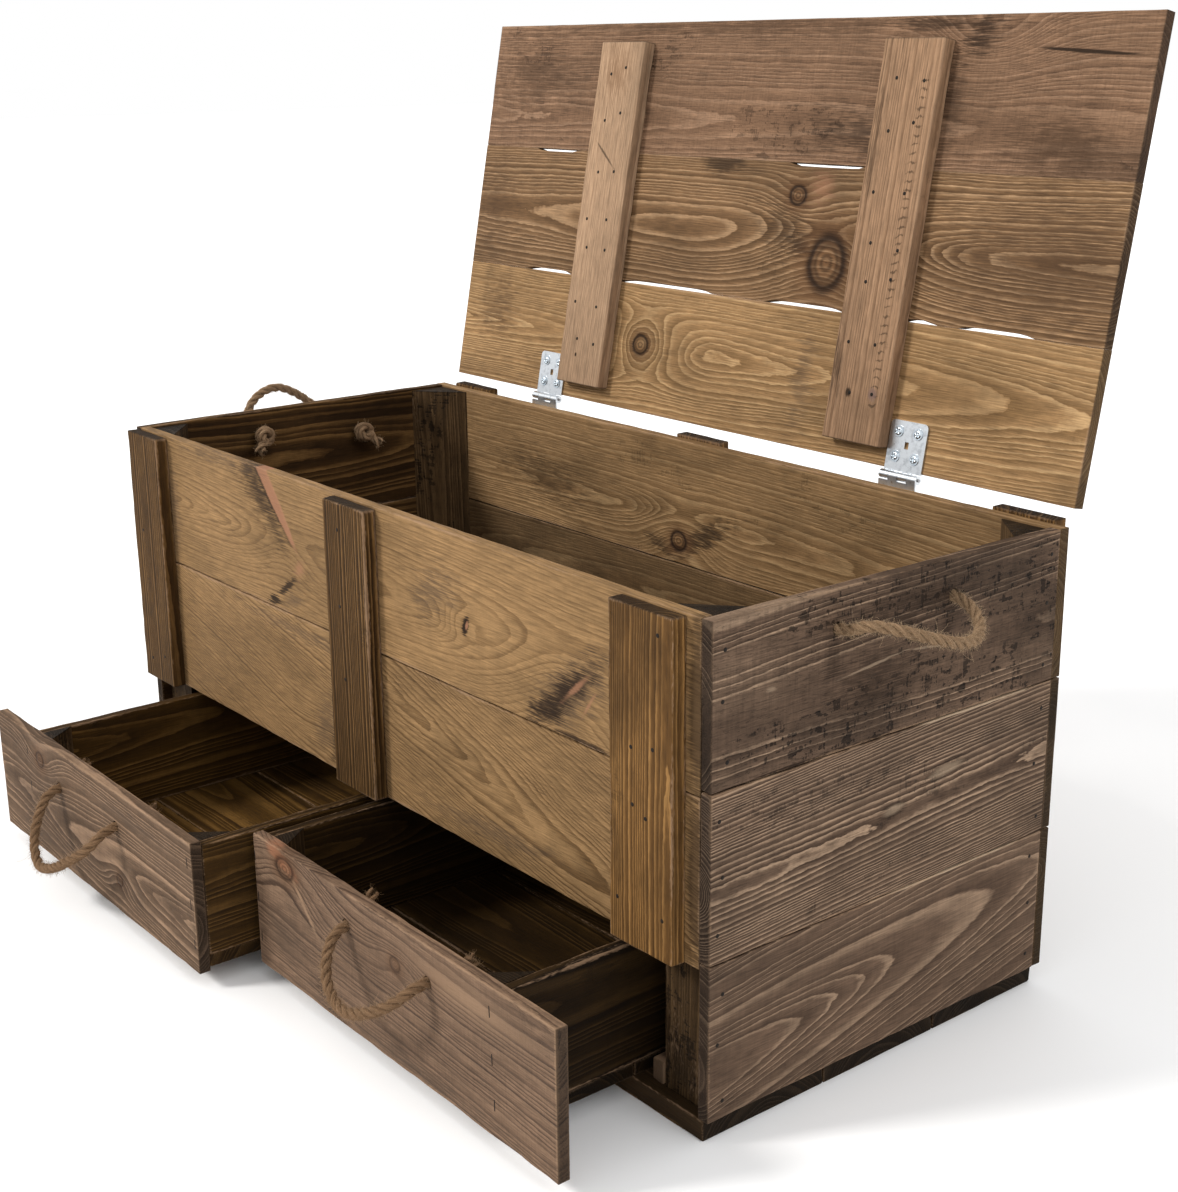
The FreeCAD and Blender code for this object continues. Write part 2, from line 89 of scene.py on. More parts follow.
def wire_operator(operation: str, turned: bool = False) -> Callable[["Wire", "Term"], "Wire"]:
    """Makes a method of Wire that sets one Math node.

    Args:
        operation: the node's operation.
        turned: whether the wire stands last.

    Returns: the method.
    """
    def method(self: "Wire", other: "Term") -> "Wire":
        """The two terms through one Math node."""
        return self.bench.math(operation, *((other, self) if turned else (self, other)))
    return method


class Wire:
    """A socket of a node tree that can be used in sums."""

    __add__ = __radd__ = wire_operator("ADD")
    __mul__ = __rmul__ = wire_operator("MULTIPLY")
    __sub__, __rsub__ = wire_operator("SUBTRACT"), wire_operator("SUBTRACT", True)
    __truediv__, __rtruediv__ = wire_operator("DIVIDE"), wire_operator("DIVIDE", True)

    def __init__(self, bench: "Bench", socket: bpy.types.NodeSocket) -> None:
        """Args: bench: the tree's workbench. socket: an output socket."""
        self.bench, self.socket = bench, socket

    def __neg__(self) -> "Wire":
        """The value with its sign turned."""
        return self * -1.0


Term = Union[Wire, float]
Grain = Sequence[Wire]  # the place along, across and through a board


class Bench:
    """Adds nodes to one tree and joins them."""

    def __init__(self, tree: bpy.types.NodeTree) -> None:
        """Args: tree: the node tree to build in."""
        self.tree = tree

    def add(self, kind: str, settings: Optional[dict[str, Any]] = None,
            sockets: Optional[dict[Union[str, int], Any]] = None) -> bpy.types.Node:
        """Adds a node, sets it up, then fills its sockets.

        Args:
            kind: the node's type name.
            settings: its properties; "stops" gives a ramp's (place, grey) pairs.
            sockets: a value or a Wire for each input.

        Returns:
            The node.
        """
        node = self.tree.nodes.new(kind)
        for key, value in (settings or {}).items():
            if key == "stops":
                self._fill_ramp(node.color_ramp, value)
            else:
                setattr(node, key, value)
        for key, value in (sockets or {}).items():
            if isinstance(value, Wire):
                self.tree.links.new(value.socket, node.inputs[key])
            else:
                node.inputs[key].default_value = value
        return node

    @staticmethod
    def _fill_ramp(ramp: bpy.types.ColorRamp, stops: Sequence[Span]) -> None:
        """Sets a ramp's stops. Args: ramp: the ramp. stops: (place, grey) pairs."""
        while len(ramp.elements) < len(stops):
            ramp.elements.new(1.0)
        for element, (place, grey) in zip(ramp.elements, stops):
            element.position = place
            element.color = (grey, grey, grey, 1.0)

    def out(self, node: bpy.types.Node, key: Union[str, int] = 0) -> Wire:
        """A node's output as a Wire."""
        return Wire(self, node.outputs[key])

    def math(self, operation: str, *terms: Term) -> Wire:
        """A Math node on one to three terms."""
        return self.out(self.add("ShaderNodeMath", {"operation": operation}, dict(enumerate(terms))))


class ShaderBench(Bench):
    """The nodes of one material."""

    def __init__(self, name: str) -> None:
        """Args: name: the material's name."""
        self.material = bpy.data.materials.new(name)
        self.material.use_nodes = True
        super().__init__(self.material.node_tree)
        self.tree.nodes.clear()

    def attribute(self, name: str, key: str = "Vector") -> Wire:
        """A vertex attribute of the piece."""
        return self.out(self.add("ShaderNodeAttribute", {"attribute_name": name}), key)

    def split(self, vector: Wire) -> tuple[Wire, Wire, Wire]:
        """The three parts of a vector."""
        node = self.add("ShaderNodeSeparateXYZ", {}, {0: vector})
        return self.out(node, 0), self.out(node, 1), self.out(node, 2)

    def object_place(self) -> tuple[Wire, Wire, Wire]:
        """The Object coordinates."""
        return self.split(self.out(self.add("ShaderNodeTexCoord"), "Object"))

    def noise(self, x: Term, y: Term, z: Term, detail: float, roughness: float = 0.5,
              key: Union[str, int] = 0) -> Wire:
        """A noise on three stretched coordinates, as one value or as the three of its "Color"."""
        place = self.out(self.add("ShaderNodeCombineXYZ", {}, {0: x, 1: y, 2: z}))
        node = self.add("ShaderNodeTexNoise", {}, {"Vector": place, "Scale": 1.0, "Detail": detail,
                                                   "Roughness": roughness})
        return self.out(node, key)

    def step(self, value: Wire, low: float, high: float) -> Wire:
        """A smooth step from 0 at low to 1 at high, which may be the lower number."""
        return self.out(self.add("ShaderNodeMapRange", {"interpolation_type": "SMOOTHSTEP"},
                                 {"Value": value, "From Min": low, "From Max": high}))

    def ramp(self, value: Wire, stops: Sequence[Span]) -> Wire:
        """A ramp of greys over a value."""
        return self.out(self.add("ShaderNodeValToRGB", {"stops": stops}, {0: value}))

    def mix(self, factor: Term, first: Union[Wire, Colour], second: Union[Wire, Colour]) -> Wire:
        """A mix of two colours."""
        colours = [value if isinstance(value, Wire) else (*value, 1.0) for value in (first, second)]
        node = self.add("ShaderNodeMix", {"data_type": "RGBA"}, {0: factor, 6: colours[0], 7: colours[1]})
        return self.out(node, 2)

    def scale(self, colour: Wire, factor: Wire) -> Wire:
        """A colour made brighter or darker by a factor."""
        return self.out(self.add("ShaderNodeVectorMath", {"operation": "SCALE"},
                                 {0: colour, "Scale": factor}))

    def ellipse(self, along: Wire, across: Wire, half_length: float, half_width: float) -> Wire:
        """How many times its own radius a place lies from the middle of an ellipse."""
        return self.distance(along / half_length, across / half_width)

    def distance(self, first: Wire, second: Wire) -> Wire:
        """The length of the diagonal of two values."""
        return self.math("SQRT", first * first + second * second)

    def bell(self, value: Wire) -> Wire:
        """A bell curve, 1 where the value is 0."""
        return self.math("EXPONENT", -(value * value))

    def surface(self, colour: Union[Wire, Colour], roughness: Term, height: Wire, relief: float,
                metallic: float = 0.0, strength: float = 0.6, gloss: float = 0.5) -> Finish:
        """Ends the material in a shader.

        Args:
            colour: base colour.
            roughness: its roughness.
            height: relief between 0 and 1.
            relief: depth of the relief in metres.
            metallic: 1 on bare metal.
            strength: how strongly the relief shows.
            gloss: level of its mirror light.

        Returns:
            The finished material.
        """
        bump = self.add("ShaderNodeBump", {}, {"Strength": strength, "Distance": relief, "Height": height})
        shader = self.add("ShaderNodeBsdfPrincipled", {}, {
            "Base Color": colour if isinstance(colour, Wire) else (*colour, 1.0),
            "Roughness": roughness, "Metallic": metallic, "Specular IOR Level": gloss,
            "Normal": self.out(bump)})
        self.add("ShaderNodeOutputMaterial", {}, {"Surface": self.out(shader)})
        return self.material


# ---- Finishes ----

class Stain(Enum):
    """Shades of stained pine: the early wood of a ring, its middle, and its late line."""

    HONEY = ((0.275, 0.164, 0.074), (0.230, 0.136, 0.060), (0.085, 0.043, 0.015))
    GOLD = ((0.120, 0.066, 0.026), (0.230, 0.134, 0.060), (0.380, 0.245, 0.120))
    AMBER = ((0.090, 0.048, 0.021), (0.168, 0.094, 0.045), (0.345, 0.215, 0.115))
    DUSK = ((0.085, 0.046, 0.026), (0.145, 0.082, 0.047), (0.225, 0.135, 0.082))
    UMBER = ((0.050, 0.030, 0.019), (0.096, 0.060, 0.039), (0.270, 0.182, 0.118))
    ROSE = ((0.165, 0.104, 0.066), (0.128, 0.079, 0.050), (0.048, 0.028, 0.018))
    WALNUT = ((0.055, 0.032, 0.018), (0.100, 0.062, 0.038), (0.250, 0.158, 0.097))
    BARK = ((0.022, 0.010, 0.003), (0.070, 0.034, 0.010), (0.230, 0.124, 0.042))
    SAND = ((0.310, 0.205, 0.127), (0.262, 0.168, 0.102), (0.150, 0.085, 0.045))
    CLAY = ((0.265, 0.160, 0.094), (0.215, 0.128, 0.073), (0.105, 0.055, 0.028))
    # Dark brown pine, darkened further as painted shade: used on the base, posts, cleats and drawer blocks,
    # which stand in shade under and inside the chest.
    SHADE_BROWN = ((0.016, 0.0085, 0.0032), (0.032, 0.018, 0.0075), (0.068, 0.040, 0.018))
    # Darker still, near black, as painted shade inside the drawers.
    SHADE_NEAR_BLACK = ((0.010, 0.0045, 0.001), (0.026, 0.0125, 0.0025), (0.066, 0.034, 0.009))


@dataclass(frozen=True)
class Knot:
    """A knot on a board's face, counted from the board's middle along and across its grain."""

    along: float
    across: float
    radius: float
    stretch: float = 1.15
    lift: float = 2.2  # how many rings it pushes aside
    spread: float = 4.2  # how far along the board, in its own radii
    strength: float = 1.0  # 0 bends the rings alone


@dataclass(frozen=True)
class Mark:
    """A coloured streak, stain, scar, crack, painted shadow or painted highlight on a board's face, or an
    even row of them along the grain.
    """

    along: float
    across: float
    half_length: float
    half_width: float
    colour: Colour
    strength: float
    ragged: float
    soft: float = 1.0  # share of its half width over which it fades
    angle: float = 0.0
    taper: float = 0.0  # how much wider its far end is than its middle
    spacing: float = 0.0
    half_run: float = 0.0  # half the length of a row


SCAR: Colour = (0.020, 0.011, 0.006)
BLUSH: Colour = (0.290, 0.140, 0.078)
GREY: Colour = (0.075, 0.050, 0.034)
PALE_EDGE: Colour = (0.300, 0.190, 0.115)
KNOT_HEART: Colour = (0.085, 0.038, 0.016)
KNOT_RIM: Colour = (0.014, 0.007, 0.004)


@dataclass(frozen=True)
class Figure:
    """A noise stretched along the grain."""

    along: float
    across: float
    detail: float
    roughness: float = 0.5
    seeding: float = 1.0  # how far a board's seed shifts it

    def over(self, bench: ShaderBench, grain: Grain, seed: float, key: Union[str, int] = 0) -> Wire:
        """The noise over one board's grain."""
        u, v, w = grain
        return bench.noise(u * self.along + seed * self.seeding, v * self.across, w * self.across,
                           self.detail, self.roughness, key)


FIBRE = Figure(34.0, 760.0, 2.0, 0.55)
CLOUD = Figure(4.6, 11.0, 4.0, 0.62, 1.7)
SPECK = Figure(60.0, 150.0, 2.0, 0.6)
FLECK = Figure(170.0, 800.0, 1.0)
SAW = Figure(420.0, 42.0, 2.0)
SWAY = Figure(3.9, 14.0, 3.0, 0.45, -1.0)

RING_JAG = 0.0016  # how far a speck shifts a ring
SWELL_WAVES = 230.0  # how fast the rings' spacing swells and shrinks
SWELL_RINGS = 0.60  # by how many rings
PINE_RELIEF = 0.0013


@dataclass(frozen=True)
class Pine:
    """The stained face of one sawn pine board, with the rings of the log it came from."""

    stain: Stain
    seed: float
    heart_across: float = 0.0  # where the log's heart runs under the board
    heart_depth: float = 0.020
    lean: float = 0.04  # how the heart sinks along the board
    drift: float = 0.0  # how it wanders across
    ring: float = 0.0034
    sway: float = 0.007
    line: float = 0.30  # how much of a ring its late line takes
    contrast: float = 0.85
    # brightness of the whole board, which on some pieces also paints the light and shade that fall on them
    shade: float = 1.0
    rough: float = 0.35
    saw: float = 0.35
    clouds: float = 0.6
    knots: tuple[Knot, ...] = ()
    marks: tuple[Mark, ...] = ()

    def material(self, name: str) -> Finish:
        """Builds the board's material. Args: name: the piece it is for. Returns: the material."""
        bench = ShaderBench("pine_" + name)
        grain = bench.split(bench.attribute("grain"))
        fibre, fleck, saw = (figure.over(bench, grain, self.seed) for figure in (FIBRE, FLECK, SAW))
        cloud, blotch, worn = bench.split(CLOUD.over(bench, grain, self.seed, "Color"))
        jag, mottle, tear = bench.split(SPECK.over(bench, grain, self.seed, "Color"))
        early_share, late_share = self._ring_shares(bench, grain, jag, cloud)
        early, ground, late = self.stain.value
        colour = bench.mix(early_share, ground, early)
        colour = bench.mix(late_share, colour, late)
        gloom = tuple(0.30 * part for part in ground)
        pale = tuple(0.6 * a + 0.75 * max(b, c) for a, b, c in zip(ground, early, late))
        colour = bench.mix(bench.step(blotch, 0.47, 0.68) * self.clouds, colour, gloom)
        colour = bench.mix(bench.step(cloud, 0.54, 0.74) * (0.35 * self.clouds), colour, pale)
        torn = bench.step(worn + (blotch - 0.5) * 0.5, 0.68 - 0.22 * self.rough, 0.74 - 0.22 * self.rough)
        pits = bench.step(saw + (tear - 0.5) * 1.6, 0.60, 0.72) * torn + bench.step(fleck, 0.60, 0.70) * 0.4
        light = (1.0 + 1.3 * (fibre - 0.5)) * (1.0 + 0.5 * (mottle - 0.5))
        light = light * (1.0 + 0.8 * self.saw * (saw - 0.5))
        light = light * (0.62 + 0.76 * worn) * (1.0 - 0.7 * self.rough * pits)
        colour = bench.scale(colour, light * self.shade)
        height = 0.30 * late_share + 0.55 * fibre + 0.35 * self.saw * saw - 0.8 * self.rough * pits
        for mark in self.marks:
            colour = self._marked(bench, colour, mark, grain, fibre, mottle)
        for knot in (knot for knot in self.knots if knot.strength):
            colour, height = self._knotted(bench, colour, height, knot, grain, cloud, fibre)
        edge = bench.attribute("wear", "Fac")
        rub = bench.step(edge + (fleck - 0.5) * 0.8 + (worn - 0.5) * 1.8, 0.72, 1.12)
        colour = bench.mix(rub * 0.55, colour, PALE_EDGE)
        end_grain = bench.attribute("end_grain", "Fac")
        colour = bench.scale(colour, 1.0 - 0.68 * end_grain)
        roughness = 0.78 - 0.16 * late_share + 0.2 * (fibre - 0.5)
        return bench.surface(colour, roughness, height, relief=PINE_RELIEF, strength=0.7, gloss=0.10)

    def _ring_shares(self, bench: ShaderBench, grain: Grain, jag: Wire,
                     cloud: Wire) -> tuple[Wire, Wire]:
        """The rings of the log.

        Args: bench: the workbench. grain: the place in the board. jag: fine noise that makes the rings
            uneven. cloud: slow noise that makes them fainter in places.
        Returns: how much of its ring's early and late colour each place has.
        """
        distance = self._ring_distance(bench, grain) + (jag - 0.5) * RING_JAG
        phase = distance / self.ring + bench.math("SINE", distance * SWELL_WAVES + self.seed) * SWELL_RINGS
        chance = bench.out(bench.add("ShaderNodeTexWhiteNoise", {"noise_dimensions": "1D"},
                                     {"W": bench.math("FLOOR", phase)}))
        share = bench.math("FRACT", phase)
        strength = self.contrast * (0.45 + 0.55 * chance) * (0.35 + 1.3 * cloud)
        early = bench.ramp(share, ((0.0, 1.0), (0.14, 0.85), (0.50, 0.0)))
        late = bench.ramp(share, ((0.95 - 1.2 * self.line, 0.0), (0.95 - 0.5 * self.line, 0.85),
                                  (0.94, 1.0), (0.99, 0.0)))
        return early * strength, late * strength

    def _ring_distance(self, bench: ShaderBench, grain: Grain) -> Wire:
        """How far each place lies from the log's heart, with the rings' sway and the lift of the knots.

        Args: bench: the workbench. grain: the place in the board. Returns: the distance.
        """
        u, v, w = grain
        side = v - self.heart_across - u * self.drift
        depth = w + self.heart_depth + u * self.lean
        sway = SWAY.over(bench, grain, self.seed)
        distance = bench.distance(side, depth) + (sway - 0.5) * (2.0 * self.sway)
        for knot in self.knots:
            half_length = knot.spread * knot.radius
            reach = bench.ellipse(u - knot.along, v - knot.across, half_length, 0.52 * half_length)
            distance = distance + bench.bell(reach) * (knot.lift * self.ring)
        return distance

    @staticmethod
    def _marked(bench: ShaderBench, colour: Wire, mark: Mark, grain: Grain, fibre: Wire,
                mottle: Wire) -> Wire:
        """Lays one mark over the wood.

        Args: bench: the workbench. colour: the wood's so far. mark: it. grain: the place in the board.
            fibre, mottle: fine and coarse noise that make its edge ragged.
        Returns: the colour with it.
        """
        cosine, sine = math.cos(mark.angle), math.sin(mark.angle)
        from_u, from_v = grain[0] - mark.along, grain[1] - mark.across
        strength: Term = mark.strength
        if mark.spacing:
            strength *= bench.step(bench.math("ABSOLUTE", from_u), mark.half_run, 0.97 * mark.half_run)
            from_u = bench.math("WRAP", from_u + (mottle - 0.5) * mark.spacing,
                                mark.spacing / 2, -mark.spacing / 2)
        lengthways = from_u * cosine + from_v * sine
        sideways = (from_v * cosine - from_u * sine) / (1.0 + lengthways * (mark.taper / mark.half_length))
        reach = bench.ellipse(lengthways, sideways, mark.half_length, mark.half_width)
        reach = reach + ((fibre - 0.5) * 1.3 + (mottle - 0.5) * 0.7) * (1.2 * mark.ragged)
        return bench.mix(bench.step(reach, 1.0, 1.0 - mark.soft) * strength, colour, mark.colour)

    @staticmethod
    def _knotted(bench: ShaderBench, colour: Wire, height: Wire, knot: Knot, grain: Grain,
                 cloud: Wire, fibre: Wire) -> tuple[Wire, Wire]:
        """Lays one knot over the wood.

        Args: bench: the workbench. colour, height: the wood's so far. knot: it. grain: the place in the
            board. cloud, fibre: slow and fine noise that make it uneven.
        Returns: the colour and the relief with it.
        """
        reach = bench.ellipse(grain[0] - knot.along, grain[1] - knot.across, knot.radius * knot.stretch,
                              knot.radius)
        reach = reach * (0.72 + 0.56 * cloud) + (fibre - 0.5) * 0.25
        halo = bench.step(reach, 2.8, 0.9)
        inside = bench.step(reach, 1.04, 0.90)
        rim = bench.bell((reach - 1.0) / 0.24)
        rings = bench.math("SINE", reach * 17.0) * 0.34 + 0.86
        heart = bench.scale(bench.mix(0.5, KNOT_HEART, colour), rings)
        colour = bench.mix(halo * (0.62 * knot.strength), colour, KNOT_HEART)
        colour = bench.mix(inside * (0.85 * knot.strength), colour, heart)
        colour = bench.mix(rim * (0.88 * knot.strength), colour, KNOT_RIM)
        return colour, height - 0.8 * rim + 0.2 * inside


@dataclass(frozen=True)
class Jute:
    """Twisted jute: dry golden fibres with dark between them, and painted shade in the grooves between the
    strands.
    """

    name: str = "jute"
    dark: Colour = (0.075, 0.040, 0.018)
    light: Colour = (0.400, 0.260, 0.150)
    hair: Colour = (0.500, 0.350, 0.210)

    def material(self) -> Finish:
        """Builds the rope's material. Returns: the material."""
        bench = ShaderBench(self.name)
        along, around, strand = bench.split(bench.attribute("lay"))
        fibre = bench.noise(along * 130.0, around * 2600.0, strand * 5.0, 3.0, 0.65)
        tone = bench.noise(along * 85.0, around * 260.0, strand * 5.0, 3.0, 0.6)
        # The grooves between the strands are darkened: painted shade.
        groove_shade = bench.attribute("groove_shade", "Fac")
        bright = (0.30 + 1.9 * (fibre - 0.30)) * (0.10 + 1.8 * tone) * (1.0 - 0.75 * groove_shade)
        colour = bench.mix(bright, self.dark, self.light)
        return bench.surface(colour, 0.88, 0.6 * fibre + 0.4 * tone, relief=0.0016, strength=1.0, gloss=0.15)

    def hair_material(self) -> Finish:
        """Builds the loose fibres' material. Returns: the material."""
        bench = ShaderBench(self.name + "_fibre")
        x, y, z = bench.object_place()
        tone = bench.noise(x * 240.0, y * 240.0, z * 240.0, 1.0)
        colour = bench.mix(tone, tuple(0.5 * part for part in self.hair), self.hair)
        return bench.surface(colour, 0.8, tone, relief=0.0001, gloss=0.2)


# A darker copy of the jute for the drawer ropes: painted shade that offsets the stronger light on the front
# of the chest.
SHADE_PAINTED_JUTE = Jute("shade_painted_jute", (0.055, 0.027, 0.011), (0.310, 0.185, 0.100), (0.380, 0.240, 0.135))


@dataclass(frozen=True)
class Steel:
    """Plated or bare steel of the hinges, screws and nails."""

    name: str
    colour: Colour
    tarnish: Colour
    roughness: float
    metallic: float = 1.0

    def material(self) -> Finish:
        """Builds the metal. Returns: the material."""
        bench = ShaderBench(self.name)
        x, y, z = bench.object_place()
        cloud = bench.noise(x * 160.0, y * 160.0, z * 160.0, 3.0, 0.6)
        scratch = bench.noise(x * 2600.0, y * 240.0, z * 240.0, 2.0)
        colour = bench.mix(bench.step(cloud, 0.45, 0.75) * 0.55, self.colour, self.tarnish)
        roughness = self.roughness + 0.30 * (cloud - 0.5) + 0.16 * (scratch - 0.5)
        return bench.surface(colour, roughness, 0.5 * cloud + 0.5 * scratch, relief=0.00012,
                             metallic=self.metallic, gloss=0.1 + 0.4 * self.metallic)


ZINC = Steel("bright_zinc", (0.62, 0.65, 0.68), (0.22, 0.24, 0.27), 0.34)
SCREW_STEEL = Steel("screw_zinc", (0.58, 0.64, 0.69), (0.20, 0.27, 0.33), 0.28)
PIN_STEEL = Steel("pin_steel", (0.30, 0.30, 0.31), (0.12, 0.11, 0.10), 0.42)
NAIL_STEEL = Steel("dark_nail_steel", (0.012, 0.009, 0.007), (0.030, 0.020, 0.012), 0.60, 0.0)


# ---- Meshes ----

def new_object(name: str, data: Optional[bpy.types.ID]) -> Piece:
    """An object in the scene that holds some data."""
    result = bpy.data.objects.new(name, data)
    bpy.context.scene.collection.objects.link(result)
    return result


def evaluated_mesh(piece: Piece) -> Mesh:
    """A plain mesh of an object with its modifiers or its curve worked out."""
    return bpy.data.meshes.new_from_object(piece.evaluated_get(bpy.context.evaluated_depsgraph_get()))


def new_piece(name: str, points: np.ndarray, faces: Sequence[Sequence[int]]) -> Piece:
    """Makes a mesh object with its place in its mesh.

    Args:
        name: the piece's name.
        points: one row for each vertex.
        faces: vertex numbers of each face.

    Returns:
        The object, in the scene.
    """
    mesh = bpy.data.meshes.new(name)
    mesh.from_pydata(points.tolist(), [], [list(face) for face in faces])
    mesh.validate()
    return new_object(name, mesh)


def set_attribute(mesh: Mesh, name: str, values: np.ndarray) -> None:
    """Writes a vertex attribute. Args: mesh: the mesh. name: its name. values: numbers or rows of three."""
    is_vector = values.ndim == 2
    layer = mesh.attributes.new(name, "FLOAT_VECTOR" if is_vector else "FLOAT", "POINT")
    layer.data.foreach_set("vector" if is_vector else "value", values.astype(np.float32).ravel())


def vertex_places(mesh: Mesh) -> np.ndarray:
    """The vertices of a mesh as rows."""
    places = np.zeros(len(mesh.vertices) * 3)
    mesh.vertices.foreach_get("co", places)
    return places.reshape(-1, 3)


def moved(points: np.ndarray, matrix: Matrix) -> np.ndarray:
    """Points taken through a matrix."""
    table = np.array(matrix)
    return points @ table[:3, :3].T + table[:3, 3]


def plain_mesh(piece: Piece, name: str) -> Piece:
    """Replaces a piece by its plain mesh. Args: piece: it. name: the new name. Returns: the new one."""
    mesh = evaluated_mesh(piece)
    mesh.name = name
    bpy.data.objects.remove(piece)
    return new_object(name, mesh)


def soften(mesh: Mesh, crease: float) -> None:
    """Smooth shading with creases where faces turn by more than an angle in degrees."""
    mesh.shade_smooth()
    mesh.set_sharp_from_angle(angle=math.radians(crease))


def unit_rows(rows: np.ndarray) -> np.ndarray:
    """Vectors in rows, each made one long."""
    return rows / np.linalg.norm(rows, axis=1, keepdims=True)


def run_along(path: np.ndarray) -> np.ndarray:
    """How far along a path each of its points lies."""
    return np.concatenate([[0.0], np.cumsum(np.linalg.norm(np.diff(path, axis=0), axis=1))])


def tube_faces(rows: int, sides: int) -> Faces:
    """Faces of a closed tube. Args: rows: its rings. sides: points in a ring. Returns: vertex numbers."""
    faces = [[row * sides + i, row * sides + (i + 1) % sides, (row + 1) * sides + (i + 1) % sides,
              (row + 1) * sides + i] for row in range(rows - 1) for i in range(sides)]
    last = (rows - 1) * sides
    return faces + [list(range(sides))[::-1], list(range(last, last + sides))]


def ring_points(radius: float, height: float, sides: int) -> list[Triple]:
    """Points of a level circle round Z."""
    angles = np.arange(sides) * 2 * math.pi / sides
    return [(radius * math.cos(angle), radius * math.sin(angle), height) for angle in angles]


EDGE_STATIONS = (0.0, 0.0004, 0.0009, 0.0016, 0.0028, 0.0055)
LATTICE = (0.009, 0.014, 0.006)  # how far apart a board's points lie along, across and through it
WEAR_WANDER, EDGE_WANDER = 0.018, 0.035  # how fast wear and a long edge change along a board
LEAST_WEAR, WEAR_GAIN = 0.45, 1.5  # how much an edge is worn, as shares of a board's wear
MOST_WEAR = 0.45  # share of the board's thickness
HOLLOW_POWER = 8  # how flat the middle of a hollow is
EDGE_REACH = 0.0065  # how far from an edge its rubbing shows
BOARD_CREASE = 48.0
HOLE_SIDES = 36
HOLE_MARGIN = 0.01  # how much longer a hole's cutter is than the board is thick


def stations(length: float, pitch: float) -> np.ndarray:
    """Places along a board's side. Args: length: the side. pitch: their spacing. Returns: the places."""
    ends = [place for place in EDGE_STATIONS if place < 0.45 * length]
    inner = length - 2 * ends[-1]
    count = max(1, round(inner / pitch))
    middle = [ends[-1] + inner * i / count for i in range(1, count)]
    return np.array(ends + middle + [length - place for place in reversed(ends)])


def wander(places: np.ndarray, spacing: float, rng: np.random.Generator) -> np.ndarray:
    """A random line between 0 and 1.

    Args: places: where it is read. spacing: between its corners. rng: the draws. Returns: its values.
    """
    count = max(4, int(np.ptp(places) / spacing) + 3)
    knots = np.linspace(places.min(), places.max() + 1e-6, count)
    return np.interp(places, knots, rng.random(count))


class Lie(Enum):
    """How a board lies: the model axes of its length, its width and its thickness."""

    FRONT = (0, 2, 1)
    END = (1, 2, 0)
    FLAT = (0, 1, 2)
    ACROSS = (1, 0, 2)
    UPRIGHT = (2, 0, 1)


